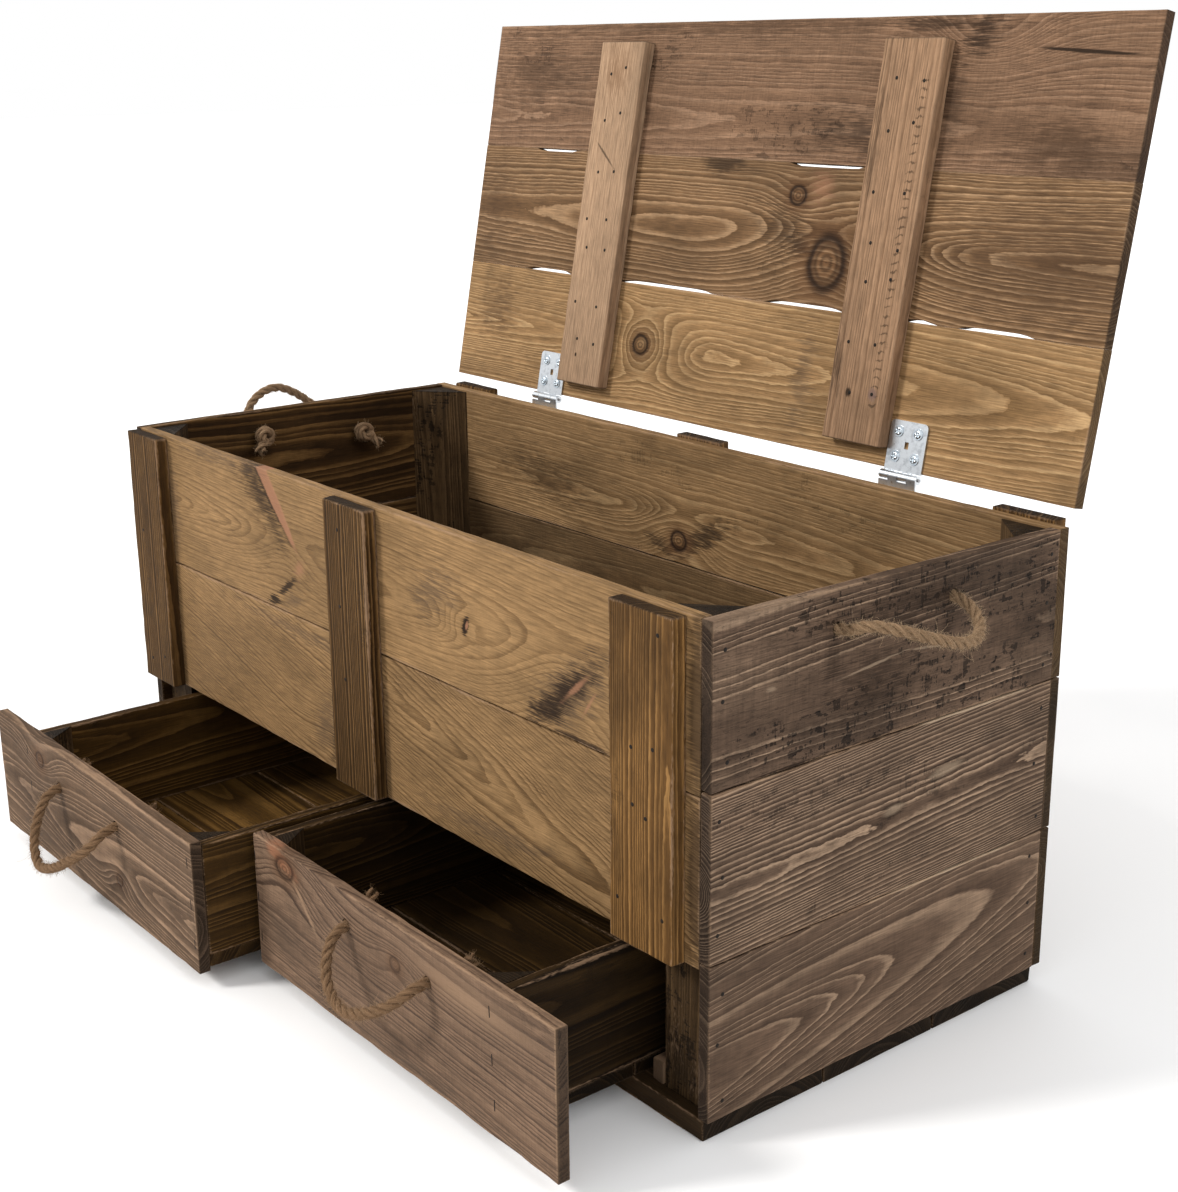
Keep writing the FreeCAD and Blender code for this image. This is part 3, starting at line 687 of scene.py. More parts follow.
@dataclass
class Board:
    """A sawn board with worn edges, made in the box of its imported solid."""

    name: str
    low: Vector
    high: Vector
    lie: Lie
    pine: Pine
    place: Matrix
    wear: float = 0.0011
    ragged: float = 0.0005  # how far its long edges wander inwards
    hollows: tuple[tuple[int, float, float, float], ...] = ()  # (side, start, end, depth) along an edge
    holes: tuple[Vector, ...] = ()  # places of round holes through its thickness
    hole_radius: float = 0.006
    let_out: Span = (0.0, 0.0)  # how far its two long sides reach into their joints
    nipped: float = 0.0  # how much its corners on one long side are cut off
    nipped_side: int = 0
    nip_slant: float = 0.86  # how far the cut runs across, as a share of its run along
    nip_start: float = 0.80  # share of its half length where the corners begin

    def build(self) -> Piece:
        """Makes the board's mesh and finish. Returns: its object."""
        width_axis = self.lie.value[1]
        self.low[width_axis] -= self.let_out[0]
        self.high[width_axis] += self.let_out[1]
        size = np.array([self.high[axis] - self.low[axis] for axis in self.lie.value])
        local, faces = self._shell(size)
        local = self._worn(local, size)
        points = np.zeros_like(local)
        for column, axis in enumerate(self.lie.value):
            points[:, axis] = local[:, column] + self.low[axis]
        if np.linalg.det(np.eye(3)[:, list(self.lie.value)]) < 0:  # its axes are left-handed
            faces = faces[:, ::-1]
        piece = new_piece(self.name, moved(points, self.place), faces)
        if self.holes:
            piece = self._bored(piece)
        soften(piece.data, BOARD_CREASE)
        self._write_grain(piece.data, size)
        piece.data.materials.append(self.pine.material(self.name))
        return piece

    @staticmethod
    def _shell(size: np.ndarray) -> tuple[np.ndarray, np.ndarray]:
        """The lattice on a box's surface. Args: size: its three sides. Returns: points and quads."""
        lines = [stations(side, pitch) for side, pitch in zip(size, LATTICE)]
        counts = [len(line) for line in lines]
        index = np.indices(counts)
        outside = np.zeros(counts, bool)
        for axis in range(3):
            outside |= (index[axis] == 0) | (index[axis] == counts[axis] - 1)
        number = np.full(counts, -1)
        number[outside] = np.arange(outside.sum())
        points = np.stack([lines[axis][index[axis][outside]] for axis in range(3)], 1)
        faces = []
        for grid, turned in ((number[:, :, -1], False), (number[:, :, 0], True), (number[-1], False),
                             (number[0], True), (number[:, -1], True), (number[:, 0], False)):
            quads = np.stack([grid[:-1, :-1], grid[1:, :-1], grid[1:, 1:], grid[:-1, 1:]], -1).reshape(-1, 4)
            faces.append(quads[:, ::-1] if turned else quads)
        return points, np.concatenate(faces)

    def _worn(self, local: np.ndarray, size: np.ndarray) -> np.ndarray:
        """Rounds the edges by uneven wear and lets the long edges wander inwards.

        Args: local: the lattice's points. size: the board's sides. Returns: the moved points.
        """
        rng = np.random.default_rng(int(self.pine.seed * 1000) + 7)
        length, width, thickness = size
        along = local[:, 0]
        radius = np.zeros(len(local))
        high_side = local[:, 1] > width / 2
        high_face = local[:, 2] > thickness / 2
        for side in (False, True):
            for face in (False, True):
                chosen = (high_side == side) & (high_face == face)
                line = wander(along, WEAR_WANDER, rng) ** 2
                radius[chosen] = (self.wear * (LEAST_WEAR + WEAR_GAIN * line))[chosen]
        radius = np.minimum(radius, MOST_WEAR * thickness)[:, None]
        core = np.clip(local, radius, size - radius)
        away = local - core
        reach = np.linalg.norm(away, axis=1, keepdims=True)
        result = np.where(reach > 0, core + away / np.maximum(reach, 1e-12) * radius, local)

        share = result[:, 1] / width
        for side in (0, 1):
            inward = self.ragged * wander(along, EDGE_WANDER, rng)
            for at, start, end, depth in self.hollows:
                if at == side:
                    middle = (start + end) / 2 - self.low[self.lie.value[0]]
                    past = (along - middle) / ((end - start) / 2)
                    inward = inward + depth * np.clip(1 - past ** HOLLOW_POWER, 0, 1)
            result[:, 1] += inward * (1 - share) if side == 0 else -inward * share
        if self.nipped:
            result = self._nip_corners(result, length, width)
        return result

    def _nip_corners(self, local: np.ndarray, length: float, width: float) -> np.ndarray:
        """Cuts the two corners of one long side off at a slant.

        Args: local: the points. length, width: the board's sides. Returns: the moved points.
        """
        distance = local[:, 1] if self.nipped_side == 0 else width - local[:, 1]
        cut = np.clip(1 - distance / (self.nip_slant * self.nipped), 0, 1) * self.nipped
        start = self.nip_start * length / 2
        offset = local[:, 0] - length / 2
        past = np.clip((np.abs(offset) - start) / (length / 2 - start), 0, 1)
        local[:, 0] -= np.sign(offset) * past * cut
        return local

    def _bored(self, piece: Piece) -> Piece:
        """Cuts the round holes. Args: piece: the board. Returns: the board with its holes."""
        through = self.lie.value[2]
        half = (X, Y, Z)[through] * (self.high[through] - self.low[through] + HOLE_MARGIN) / 2
        cutters = []
        for centre in self.holes:
            points, faces = round_bar(centre - half, centre + half, self.hole_radius, HOLE_SIDES)
            cutter = new_piece("cutter", points, faces)
            modifier = piece.modifiers.new("hole", "BOOLEAN")
            modifier.operation = "DIFFERENCE"
            modifier.solver = "EXACT"
            modifier.object = cutter
            cutters.append(cutter)
        result = plain_mesh(piece, self.name + "_bored")
        result.name = self.name
        for cutter in cutters:
            bpy.data.objects.remove(cutter)
        return result

    def _write_grain(self, mesh: Mesh, size: np.ndarray) -> None:
        """Writes where each vertex lies in the wood, how near an edge it is, and where end grain shows.

        Args: mesh: the board's mesh. size: its sides.
        """
        level = moved(vertex_places(mesh), self.place.inverted())
        local = np.stack([level[:, axis] - self.low[axis] for axis in self.lie.value], 1)
        set_attribute(mesh, "grain", local - np.array([size[0] / 2, size[1] / 2, 0.0]))
        to_side = np.minimum(local, size - local)
        nearest_edge = np.sort(to_side, axis=1)[:, 1]
        set_attribute(mesh, "wear", np.clip(1 - nearest_edge / EDGE_REACH, 0, 1))
        set_attribute(mesh, "end_grain", np.clip(1 - to_side[:, 0] / END_GRAIN, 0, 1))


def round_bar(start: Vector, end: Vector, radius: float, sides: int) -> tuple[np.ndarray, Faces]:
    """A closed round bar.

    Args: start, end: the middles of its ends. radius, sides: its section. Returns: points and faces.
    """
    axis = (end - start).normalized()
    out = axis.orthogonal().normalized()
    other = axis.cross(out)
    points = []
    for middle in (start, end):
        for i in range(sides):
            angle = 2 * math.pi * i / sides
            points.append(middle + radius * (math.cos(angle) * out + math.sin(angle) * other))
    return np.array([tuple(point) for point in points]), tube_faces(2, sides)


POST_WANDER = 0.03  # how fast a post's thickness changes along it
POST_WEAR = 0.55  # how rubbed it is all over
POST_CREASE = 55.0


@dataclass
class CornerPost:
    """A triangular post of sawn pine in a corner, its grain upright."""

    corner: tuple[float, float]
    legs: tuple[float, float]
    low: float
    high: float
    seed: int
    wear: float = 0.0014
    lattice: float = 0.012  # how far apart its points lie along it
    slack: float = 0.012  # by what share it grows thinner at most

    def section(self) -> np.ndarray:
        """The triangle with its corners worn round, as (x, y) rows that run anticlockwise."""
        x, y = self.corner
        corners = np.array([(x, y), (x + self.legs[0], y), (x, y + self.legs[1])])
        if self.legs[0] * self.legs[1] < 0:
            corners = corners[::-1]
        rows = []
        for i in range(3):
            here = corners[i]
            first, last = here + unit_rows(corners[[i - 1, (i + 1) % 3]] - here) * self.wear
            rows += [first, 0.5 * here + 0.25 * (first + last), last]
        return np.array(rows)

    def shell(self) -> tuple[np.ndarray, Faces]:
        """Returns: points and faces."""
        outline = self.section()
        heights = self.low + stations(self.high - self.low, self.lattice)
        middle = outline.mean(axis=0)
        shares = 1 - self.slack * wander(heights, POST_WANDER, np.random.default_rng(self.seed))
        rings = [np.column_stack([middle + (outline - middle) * share, np.full(len(outline), height)])
                 for share, height in zip(shares, heights)]
        return np.concatenate(rings), tube_faces(len(heights), len(outline))


def post_piece(name: str, posts: Sequence[CornerPost], pine: Pine) -> Piece:
    """Joins corner posts into one piece and gives it its wood.

    Args:
        name: the piece's name.
        posts: the posts in it.
        pine: their finish.

    Returns:
        The object.
    """
    points, faces, grain, ends = [], [], [], []
    start = 0
    for post in posts:
        shell, shell_faces = post.shell()
        points.append(shell)
        faces += [[start + i for i in face] for face in shell_faces]
        start += len(shell)
        grain.append((shell - np.array([*post.corner, (post.low + post.high) / 2]))[:, [2, 0, 1]])
        to_end = np.minimum(shell[:, 2] - post.low, post.high - shell[:, 2])
        ends.append(np.clip(1 - to_end / END_GRAIN, 0, 1))
    piece = new_piece(name, np.concatenate(points), faces)
    soften(piece.data, POST_CREASE)
    set_attribute(piece.data, "grain", np.concatenate(grain))
    set_attribute(piece.data, "wear", np.full(start, POST_WEAR))
    set_attribute(piece.data, "end_grain", np.concatenate(ends))
    piece.data.materials.append(pine.material(name))
    return piece


def joined(name: str, pieces: Sequence[Piece]) -> Piece:
    """Joins pieces. Args: name: the new name. pieces: the pieces. Returns: the one object."""
    with bpy.context.temp_override(active_object=pieces[0], selected_editable_objects=list(pieces)):
        bpy.ops.object.join()
    pieces[0].name = name
    return pieces[0]


# ---- Rope ----

def spline_points(route: Sequence[Vector], spacing: float) -> np.ndarray:
    """Even points along the smooth curve of a route.

    Args:
        route: the control points.
        spacing: how far apart the points lie.

    Returns:
        The points as rows, from the route's start to its end.
    """
    curve = bpy.data.curves.new("route", "CURVE")
    curve.dimensions = "3D"
    curve.resolution_u = 24
    spline = curve.splines.new("NURBS")
    spline.points.add(len(route) - 1)
    for point, place in zip(spline.points, route):
        point.co = (*place, 1.0)
    spline.order_u = 3
    spline.use_endpoint_u = True
    holder = new_object("route", curve)
    mesh = evaluated_mesh(holder)
    rows = vertex_places(mesh)
    bpy.data.meshes.remove(mesh)
    bpy.data.objects.remove(holder)
    runs = run_along(rows)
    count = max(8, round(runs[-1] / spacing))
    marks = np.linspace(0, runs[-1], count + 1)
    return np.stack([np.interp(marks, runs, rows[:, axis]) for axis in range(3)], 1)


SLANT = (0.31, 0.52, 0.79)  # a direction that no rope starts along


def carried_frames(path: np.ndarray) -> tuple[np.ndarray, np.ndarray]:
    """Two directions square to a path, carried along without twist.

    Args: path: its points. Returns: the two directions at each point.
    """
    tangents = unit_rows(np.gradient(path, axis=0))
    out = np.cross(tangents[0], SLANT)
    firsts = []
    for tangent in tangents:
        out = out - tangent * np.dot(out, tangent)
        out = out / np.linalg.norm(out)
        firsts.append(out)
    firsts = np.array(firsts)
    return firsts, np.cross(tangents, firsts)


@dataclass
class Rope:
    """Three jute strands laid round a path."""

    path: np.ndarray
    diameter: float = ROPE_DIAMETER
    pitch: float = ROPE_PITCH
    sides: int = 14
    squash: float = 1.06  # how much thicker a strand is than one that only touches the others
    yarns: int = 5
    yarn_pitch: float = 0.011
    yarn_depth: float = 0.055  # depth of the grooves between yarns, as a share of a strand's radius
    fray: float = 0.0  # length of the loosened end

    def build(self, name: str) -> Piece:
        """Makes the strands as one mesh. Args: name: the piece's name. Returns: the object."""
        strand_radius = self.diameter / 2 / (1 + 2 / math.sqrt(3)) * self.squash
        offset = self.diameter / 2 - strand_radius
        first, second = carried_frames(self.path)
        run = run_along(self.path)
        loose = np.zeros(len(run))
        if self.fray:
            loose = np.clip((run - (run[-1] - self.fray)) / self.fray, 0, 1)
        points, faces, lay, groove_shade, frayed = [], [], [], [], []
        start = 0
        for strand in range(3):
            turn = 2 * math.pi * (run / self.pitch + strand / 3)
            outward = np.cos(turn)[:, None] * first + np.sin(turn)[:, None] * second
            centre = self.path + outward * (offset * (1 + 1.1 * loose))[:, None]
            rings = self._strand_rings(centre, outward, strand_radius * (1 - 0.45 * loose), run, strand)
            points.append(rings.reshape(-1, 3))
            faces += [[start + i for i in face] for face in tube_faces(len(run), self.sides)]
            start += len(run) * self.sides
            around = np.tile(np.arange(self.sides) / self.sides * 2 * math.pi * strand_radius, len(run))
            lay.append(np.column_stack([np.repeat(run, self.sides), around, np.full(len(around), strand)]))
            # Painted shade: a strand is darker where it turns in towards the rope's middle, in the grooves.
            from_axis = np.linalg.norm(rings - self.path[:, None, :], axis=2).ravel()
            groove_shade.append(np.clip(1.15 - from_axis / (self.diameter / 2), 0, 1) ** 0.8)
            frayed.append(np.repeat(loose, self.sides))
        piece = new_piece(name, np.concatenate(points), faces)
        piece.data.shade_smooth()
        set_attribute(piece.data, "lay", np.concatenate(lay))
        set_attribute(piece.data, "groove_shade", np.concatenate(groove_shade))
        set_attribute(piece.data, "frayed", np.concatenate(frayed))
        return piece

    def _strand_rings(self, centre: np.ndarray, outward: np.ndarray, radius: np.ndarray, run: np.ndarray,
                      strand: int) -> np.ndarray:
        """The rings of one strand, fluted by its yarns.

        Args: centre: its middle line. outward: away from the rope's middle. radius: at each ring.
            run: how far along each ring lies. strand: its number.
        Returns: an array of rings by sides by places.
        """
        tangents = unit_rows(np.gradient(centre, axis=0))
        first = unit_rows(outward - tangents * np.sum(outward * tangents, axis=1, keepdims=True))
        second = np.cross(tangents, first)
        angles = 2 * math.pi * np.arange(self.sides) / self.sides
        yarn_turn = self.yarns * angles[None, :] - 2 * math.pi * run[:, None] / self.yarn_pitch + strand
        flute = 1 + self.yarn_depth * np.cos(yarn_turn)
        cosines, sines = np.cos(angles)[None, :, None], np.sin(angles)[None, :, None]
        ring = cosines * first[:, None, :] + sines * second[:, None, :]
        return centre[:, None, :] + ring * (radius[:, None] * flute)[:, :, None]


# ---- Patterns of small things, by Geometry Nodes ----

class GeometryBench(Bench):
    """A Geometry Nodes tree with named inputs, and what puts it on a piece."""

    def __init__(self, name: str, inputs: dict[str, str]) -> None:
        """Args: name: the tree's name. inputs: the socket type of each named input."""
        super().__init__(bpy.data.node_groups.new(name, "GeometryNodeTree"))
        new_socket = self.tree.interface.new_socket
        new_socket(name="Geometry", in_out="INPUT", socket_type="NodeSocketGeometry")
        new_socket(name="Geometry", in_out="OUTPUT", socket_type="NodeSocketGeometry")
        self.identifiers = {label: new_socket(name=label, in_out="INPUT", socket_type=kind).identifier
                            for label, kind in inputs.items()}
        self.source = self.add("NodeGroupInput")

    def given(self, label: str) -> Wire:
        """A named input of the tree."""
        return self.out(self.source, label)

    def stored(self, name: str, kind: str = "FLOAT") -> Wire:
        """An attribute of the piece that the tree works on."""
        return self.out(self.add("GeometryNodeInputNamedAttribute", {"data_type": kind}, {"Name": name}))

    def turned(self, rotation: Wire, angles: Wire) -> Wire:
        """A rotation turned further, about its own axes, by three angles."""
        turn = self.out(self.add("FunctionNodeEulerToRotation", {}, {0: angles}))
        return self.out(self.add("FunctionNodeRotateRotation", {"rotation_space": "LOCAL"},
                                 {"Rotation": rotation, "Rotate By": turn}))

    def finish(self, instances: Wire) -> None:
        """Makes the instances real, gives them their material and ends the tree. Args: instances: they."""
        real = self.add("GeometryNodeRealizeInstances", {}, {"Geometry": instances})
        dressed = self.add("GeometryNodeSetMaterial", {}, {"Geometry": self.out(real),
                                                           "Material": self.given("Material")})
        self.add("NodeGroupOutput", {}, {"Geometry": self.out(dressed)})

    def grow(self, holder: Piece, name: str, values: dict[str, Any]) -> Piece:
        """Runs the tree on a holder and keeps the result as a plain mesh.

        Args:
            holder: the object that the tree reads, which is used up.
            name: the new piece's name.
            values: the tree's named inputs.

        Returns:
            The new piece.
        """
        modifier = holder.modifiers.new("pattern", "NODES")
        modifier.node_group = self.tree
        for label, value in values.items():
            modifier[self.identifiers[label]] = value
        holder.name = name + "_holder"
        return plain_mesh(holder, name)


class FuzzPattern(GeometryBench):
    """Loose fibres that stand off a rope."""

    def __init__(self) -> None:
        """Builds the tree."""
        super().__init__("rope_fuzz", {"Density": "NodeSocketFloat", "Frayed Density": "NodeSocketFloat",
                                       "Length": "NodeSocketFloat", "Thickness": "NodeSocketFloat",
                                       "Seed": "NodeSocketInt", "Material": "NodeSocketMaterial"})
        spots = self.add("GeometryNodeDistributePointsOnFaces", {"distribute_method": "RANDOM"}, {
            "Mesh": self.given("Geometry"), "Seed": self.given("Seed"),
            "Density": self.given("Density") + self.stored("frayed") * self.given("Frayed Density")})
        length = self.given("Length")
        middle, tip = (self.add("ShaderNodeCombineXYZ", {}, {axis: length * share for axis, share in shares})
                       for shares in (((0, 0.15), (2, 0.55)), ((0, 0.62), (1, 0.20), (2, 0.75))))
        line = self.add("GeometryNodeCurveQuadraticBezier", {}, {
            "Resolution": 4, "Start": (0.0, 0.0, 0.0), "Middle": self.out(middle), "End": self.out(tip)})
        round_section = self.add("GeometryNodeCurvePrimitiveCircle", {}, {
            "Resolution": 3, "Radius": self.given("Thickness")})
        hair = self.add("GeometryNodeCurveToMesh", {}, {
            "Curve": self.out(line), "Profile Curve": self.out(round_section), "Fill Caps": True})
        lean = self.add("FunctionNodeRandomValue", {"data_type": "FLOAT_VECTOR"}, {
            "Min": (-1.1, -1.1, -3.1), "Max": (1.1, 1.1, 3.1), "Seed": self.given("Seed")})
        growth = self.add("FunctionNodeRandomValue", {"data_type": "FLOAT"}, {
            2: 0.35, 3: 1.5, "Seed": self.given("Seed")})
        hairs = self.add("GeometryNodeInstanceOnPoints", {}, {
            "Points": self.out(spots, "Points"), "Instance": self.out(hair),
            "Rotation": self.turned(self.out(spots, "Rotation"), self.out(lean)),
            "Scale": self.out(growth, 1)})
        self.finish(self.out(hairs))


class HeadPattern(GeometryBench):
    """The same small head set at each point, facing along the point's "aim"."""

    def __init__(self) -> None:
        """Builds the tree."""
        super().__init__("fastener_heads", {"Head": "NodeSocketObject", "Material": "NodeSocketMaterial"})
        facing = self.add("FunctionNodeAlignRotationToVector", {"axis": "Z"},
                          {"Vector": self.stored("aim", "FLOAT_VECTOR")})
        turn = self.add("ShaderNodeCombineXYZ", {}, {2: self.stored("spin")})
        head = self.add("GeometryNodeObjectInfo", {"transform_space": "ORIGINAL"},
                        {"Object": self.given("Head")})
        heads = self.add("GeometryNodeInstanceOnPoints", {}, {
            "Points": self.given("Geometry"), "Instance": self.out(head, "Geometry"),
            "Rotation": self.turned(self.out(facing), self.out(turn))})
        self.finish(self.out(heads))


@dataclass(frozen=True)
class Spot:
    """Where a fastener sits, which way its head faces, and how it is turned."""

    place: Vector
    aim: Vector
    spin: float = 0.0

    def carried(self, matrix: Matrix) -> "Spot":
        """The spot taken through a matrix."""
        return Spot(matrix @ self.place, matrix.to_3x3() @ self.aim, self.spin)


def screw_head() -> Piece:
    """A domed head on a washer flange, with a cross recess, seated on its origin and facing Z."""
    sides = 36
    flange, worn_rim, dome, seat, crown = 0.0060, 0.0003, 0.0043, 0.0008, 0.0014
    arm_half_width, arm_reach, depth = 0.00062, 0.0023, 0.0014
    radii = (flange, 0.0058, 0.0050, 0.0045, dome, 0.0041, 0.0037, 0.0032, 0.0026, 0.0020, 0.0015, 0.0010,
             0.0006)
    points = ring_points(flange, 0.0, sides)
    for radius in radii:
        lift = seat + crown * math.sqrt(max(0.0, 1 - (radius / dome) ** 2))
        lift -= worn_rim if radius == flange else 0.0
        for x, y, _ in ring_points(radius, 0.0, sides):
            a, b = abs(x), abs(y)
            arm = min(max(a / arm_half_width, b / arm_reach), max(b / arm_half_width, a / arm_reach))
            points.append((x, y, lift - depth * min(1.0, max(0.0, (1.25 - arm) / 0.5))))
    points.append((0.0, 0.0, seat + crown - depth))
    faces = tube_faces(len(radii) + 1, sides)[:-1]
    top = len(radii) * sides
    faces += [[top + i, top + (i + 1) % sides, len(points) - 1] for i in range(sides)]
    head = new_piece("screw_head_shape", np.array(points), faces)
    soften(head.data, 40.0)
    return head


def nail_head() -> Piece:
    """A round nail head, slightly domed, facing Z."""
    sides = 12
    profile = ((0.0019, -0.0004), (0.0019, 0.0001), (0.0014, 0.00032), (0.0007, 0.0004))
    points = [point for radius, height in profile for point in ring_points(radius, height, sides)]
    head = new_piece("nail_head_shape", np.array(points), tube_faces(len(profile), sides))
    soften(head.data, 50.0)
    return head


def staple_crown() -> Piece:
    """The crown of a staple, a short flat bar pressed into the wood, facing Z."""
    half_length, half_width = 0.0052, 0.0006
    outline = ((-1, -1), (-0.4, -1.1), (0.4, -1.1), (1, -1), (1, 1), (0.4, 1.1), (-0.4, 1.1), (-1, 1))
    profile = ((1.0, -0.0004), (1.0, 0.00008), (0.8, 0.0002))
    points = [(x * half_length * (0.96 + 0.04 * share), y * half_width * share, height)
              for share, height in profile for x, y in outline]
    return new_piece("staple_shape", np.array(points), tube_faces(len(profile), len(outline)))


def set_heads(name: str, spots: Sequence[Spot], head: Piece, pattern: HeadPattern,
              material: Finish) -> Piece:
    """Sets one head at each spot.

    Args:
        name: the piece's name.
        spots: where the heads go.
        head: the shape of one head.
        pattern: the tree that sets them.
        material: their metal.

    Returns:
        One piece with all the heads.
    """
    holder = new_piece(name + "_spots", np.array([tuple(spot.place) for spot in spots]), [])
    set_attribute(holder.data, "aim", np.array([tuple(spot.aim) for spot in spots]))
    set_attribute(holder.data, "spin", np.array([spot.spin for spot in spots]))
    piece = pattern.grow(holder, name, {"Head": head, "Material": material})
    bpy.data.objects.remove(head)
    return piece


# ---- The boards' finishes ----

# Pale colour of small streaks, and of painted highlights along the top edges of the end boards.
SLIVER_AND_HIGHLIGHT: Colour = (0.38, 0.28, 0.19)
SHADOW: Colour = (0.060, 0.032, 0.017)

RIGHT_END: dict[str, Pine] = {
    "top": Pine(
        Stain.UMBER, 11.4, heart_across=-0.014, heart_depth=0.0316, lean=-0.026, drift=0.03, ring=0.0085,
        sway=0.005, line=0.16, contrast=1.1, rough=1.0, saw=0.8, shade=0.95,
        marks=(
            Mark(-0.03, -0.018, 0.075, 0.04, SCAR, 0.55, 1.6),
            Mark(-0.02, 0.04, 0.14, 0.024, SCAR, 0.5, 1.8, angle=-0.05),
            Mark(-0.078, 0.01, 0.014, 0.022, SCAR, 0.65, 1.0),
            Mark(0.062, 0.006, 0.01, 0.014, SCAR, 0.6, 1.0),
            Mark(-0.148, 0.002, 0.008, 0.003, SLIVER_AND_HIGHLIGHT, 0.3, 0.8, 0.6),
            Mark(-0.035, -0.004, 0.05, 0.0016, SLIVER_AND_HIGHLIGHT, 0.45, 1.0, 0.6, angle=0.1),
            Mark(0.04, -0.003, 0.045, 0.0014, SLIVER_AND_HIGHLIGHT, 0.4, 1.0, 0.6, angle=-0.12),
            Mark(-0.09, -0.0705, 0.105, 0.0026, SCAR, 1.0, 0.8, 0.3))),
    "middle": Pine(
        Stain.UMBER, 13.7, heart_across=-0.002, heart_depth=0.0125, lean=0.004, drift=0.05, ring=0.0029,
        sway=0.0045, line=0.36, contrast=1.35, rough=0.6, saw=0.3, clouds=0.45,
        marks=(
            # A pale line along the board's top edge: painted highlight.
            Mark(0.105, 0.0745, 0.095, 0.0016, SLIVER_AND_HIGHLIGHT, 0.9, 0.8, 0.4),
            Mark(0.07, 0.024, 0.032, 0.0095, SCAR, 0.5, 0.8, 0.4, angle=0.1),
            Mark(0.07, 0.024, 0.028, 0.0065, SLIVER_AND_HIGHLIGHT, 0.4, 0.4, 0.6, angle=0.1),
            Mark(0.002, 0.004, 0.02, 0.008, SCAR, 0.5, 0.8, 0.4, angle=0.12),
            Mark(0.002, 0.004, 0.017, 0.0052, SLIVER_AND_HIGHLIGHT, 0.4, 0.4, 0.6, angle=0.12))),
    "bottom": Pine(
        Stain.UMBER, 15.2, heart_across=0.006, heart_depth=0.036, lean=0.080, drift=0.16, ring=0.0058,
        sway=0.0035, line=0.20, contrast=0.80, shade=1.08, rough=0.25, saw=0.4, clouds=0.4,
        # A pale line along the board's top edge: painted highlight.
        marks=(Mark(0.08, 0.0715, 0.115, 0.0015, SLIVER_AND_HIGHLIGHT, 0.9, 0.8, 0.4),)),
}
# The left end boards are drawn dark for the painted shade on their inside faces, away from the light.
LEFT_END = Pine(Stain.BARK, 17.9, heart_across=0.01, lean=0.03, ring=0.0090, line=0.40, shade=0.72)

# The grown-in fork at the left of the front: a rosy streak, a dark feathered side and torn bark.
LEFT_CROTCH = (
    Mark(-0.212, 0.05, 0.102, 0.031, SCAR, 0.85, 1.0, angle=-0.8, taper=-0.5),
    Mark(-0.19, 0.054, 0.088, 0.0125, SCAR, 0.75, 0.5, 0.5, angle=-0.86, taper=-0.3),
    Mark(-0.186, 0.055, 0.086, 0.01, BLUSH, 0.85, 0.3, 0.3, angle=-0.87, taper=-0.3),
    Mark(-0.16, -0.046, 0.036, 0.0055, SCAR, 0.9, 1.4, 0.7, angle=0.62),
    Mark(-0.188, -0.066, 0.018, 0.0095, SCAR, 0.95, 1.5, 0.7, angle=0.35),
    Mark(-0.132, -0.022, 0.017, 0.011, BLUSH, 0.6, 1.0, 0.9, angle=0.7),
    Mark(-0.15, -0.06, 0.03, 0.014, GREY, 0.45, 1.2, angle=0.3))
# The dark grown-in fork at the right of the front.
RIGHT_CROTCH = (
    Mark(0.322, -0.032, 0.084, 0.034, GREY, 0.65, 1.2, angle=0.62),
    Mark(0.314, -0.034, 0.08, 0.02, SCAR, 0.95, 1.1, 0.9, angle=0.68),
    Mark(0.288, -0.06, 0.034, 0.015, SCAR, 0.9, 1.1, angle=0.15),
    Mark(0.338, -0.0725, 0.06, 0.005, SCAR, 0.9, 1.0, 0.8),
    Mark(0.33, -0.026, 0.03, 0.004, BLUSH, 0.65, 0.9, 0.8, angle=0.72),
    Mark(0.348, -0.036, 0.02, 0.0024, BLUSH, 0.6, 0.8, 0.8, angle=0.95))
FRONT_WALL: dict[str, Pine] = {
    "upper": Pine(
        Stain.HONEY, 21.3, heart_across=-0.004, heart_depth=0.031, lean=0.050, drift=-0.02, ring=0.0035,
        line=0.34, contrast=0.55, shade=0.96, rough=0.15, saw=0.15, clouds=0.30,
        knots=(
            Knot(-0.165, -0.015, 0.01, lift=5.0, spread=7.0, strength=0.0),
            Knot(0.168, -0.01, 0.006, lift=3.0, spread=6.0, strength=0.0),
            Knot(0.325, -0.045, 0.014, lift=9.0, spread=6.5, strength=0.0)),
        marks=LEFT_CROTCH + RIGHT_CROTCH + (
            Mark(0.12, 0.012, 0.052, 0.03, GREY, 0.5, 1.6, angle=0.4),
            Mark(0.168, -0.01, 0.0125, 0.006, SCAR, 1.0, 0.8, 0.5, angle=1.25),
            Mark(0.17, -0.009, 0.006, 0.0028, BLUSH, 0.8, 0.5, 0.6, angle=1.2),
            Mark(-0.3, 0.068, 0.12, 0.01, GREY, 0.4, 1.5),
            Mark(-0.415, -0.01, 0.022, 0.08, GREY, 0.45, 0.8),
            Mark(0.484, 0.0, 0.014, 0.11, SCAR, 0.75, 0.5, 0.6))),
    "lower": Pine(
        Stain.HONEY, 23.8, heart_across=0.050, heart_depth=0.030, lean=0.045, drift=-0.26, line=0.38,
        shade=0.94, rough=0.2, saw=0.15, clouds=0.35,
        knots=(Knot(-0.066, -0.04, 0.01, lift=6.0, spread=6.0, strength=0.0),),
        marks=(
            Mark(-0.072, -0.04, 0.044, 0.016, SCAR, 0.8, 1.4, angle=1.25),
            Mark(-0.095, -0.03, 0.05, 0.026, GREY, 0.45, 1.2, angle=1.1),
            Mark(-0.15, 0.06, 0.18, 0.012, GREY, 0.4, 1.2, angle=-0.03),
            Mark(0.2, -0.05, 0.14, 0.016, GREY, 0.4, 1.2, angle=0.05),
            Mark(0.484, 0.0, 0.014, 0.11, SCAR, 0.75, 0.5, 0.6))),
}
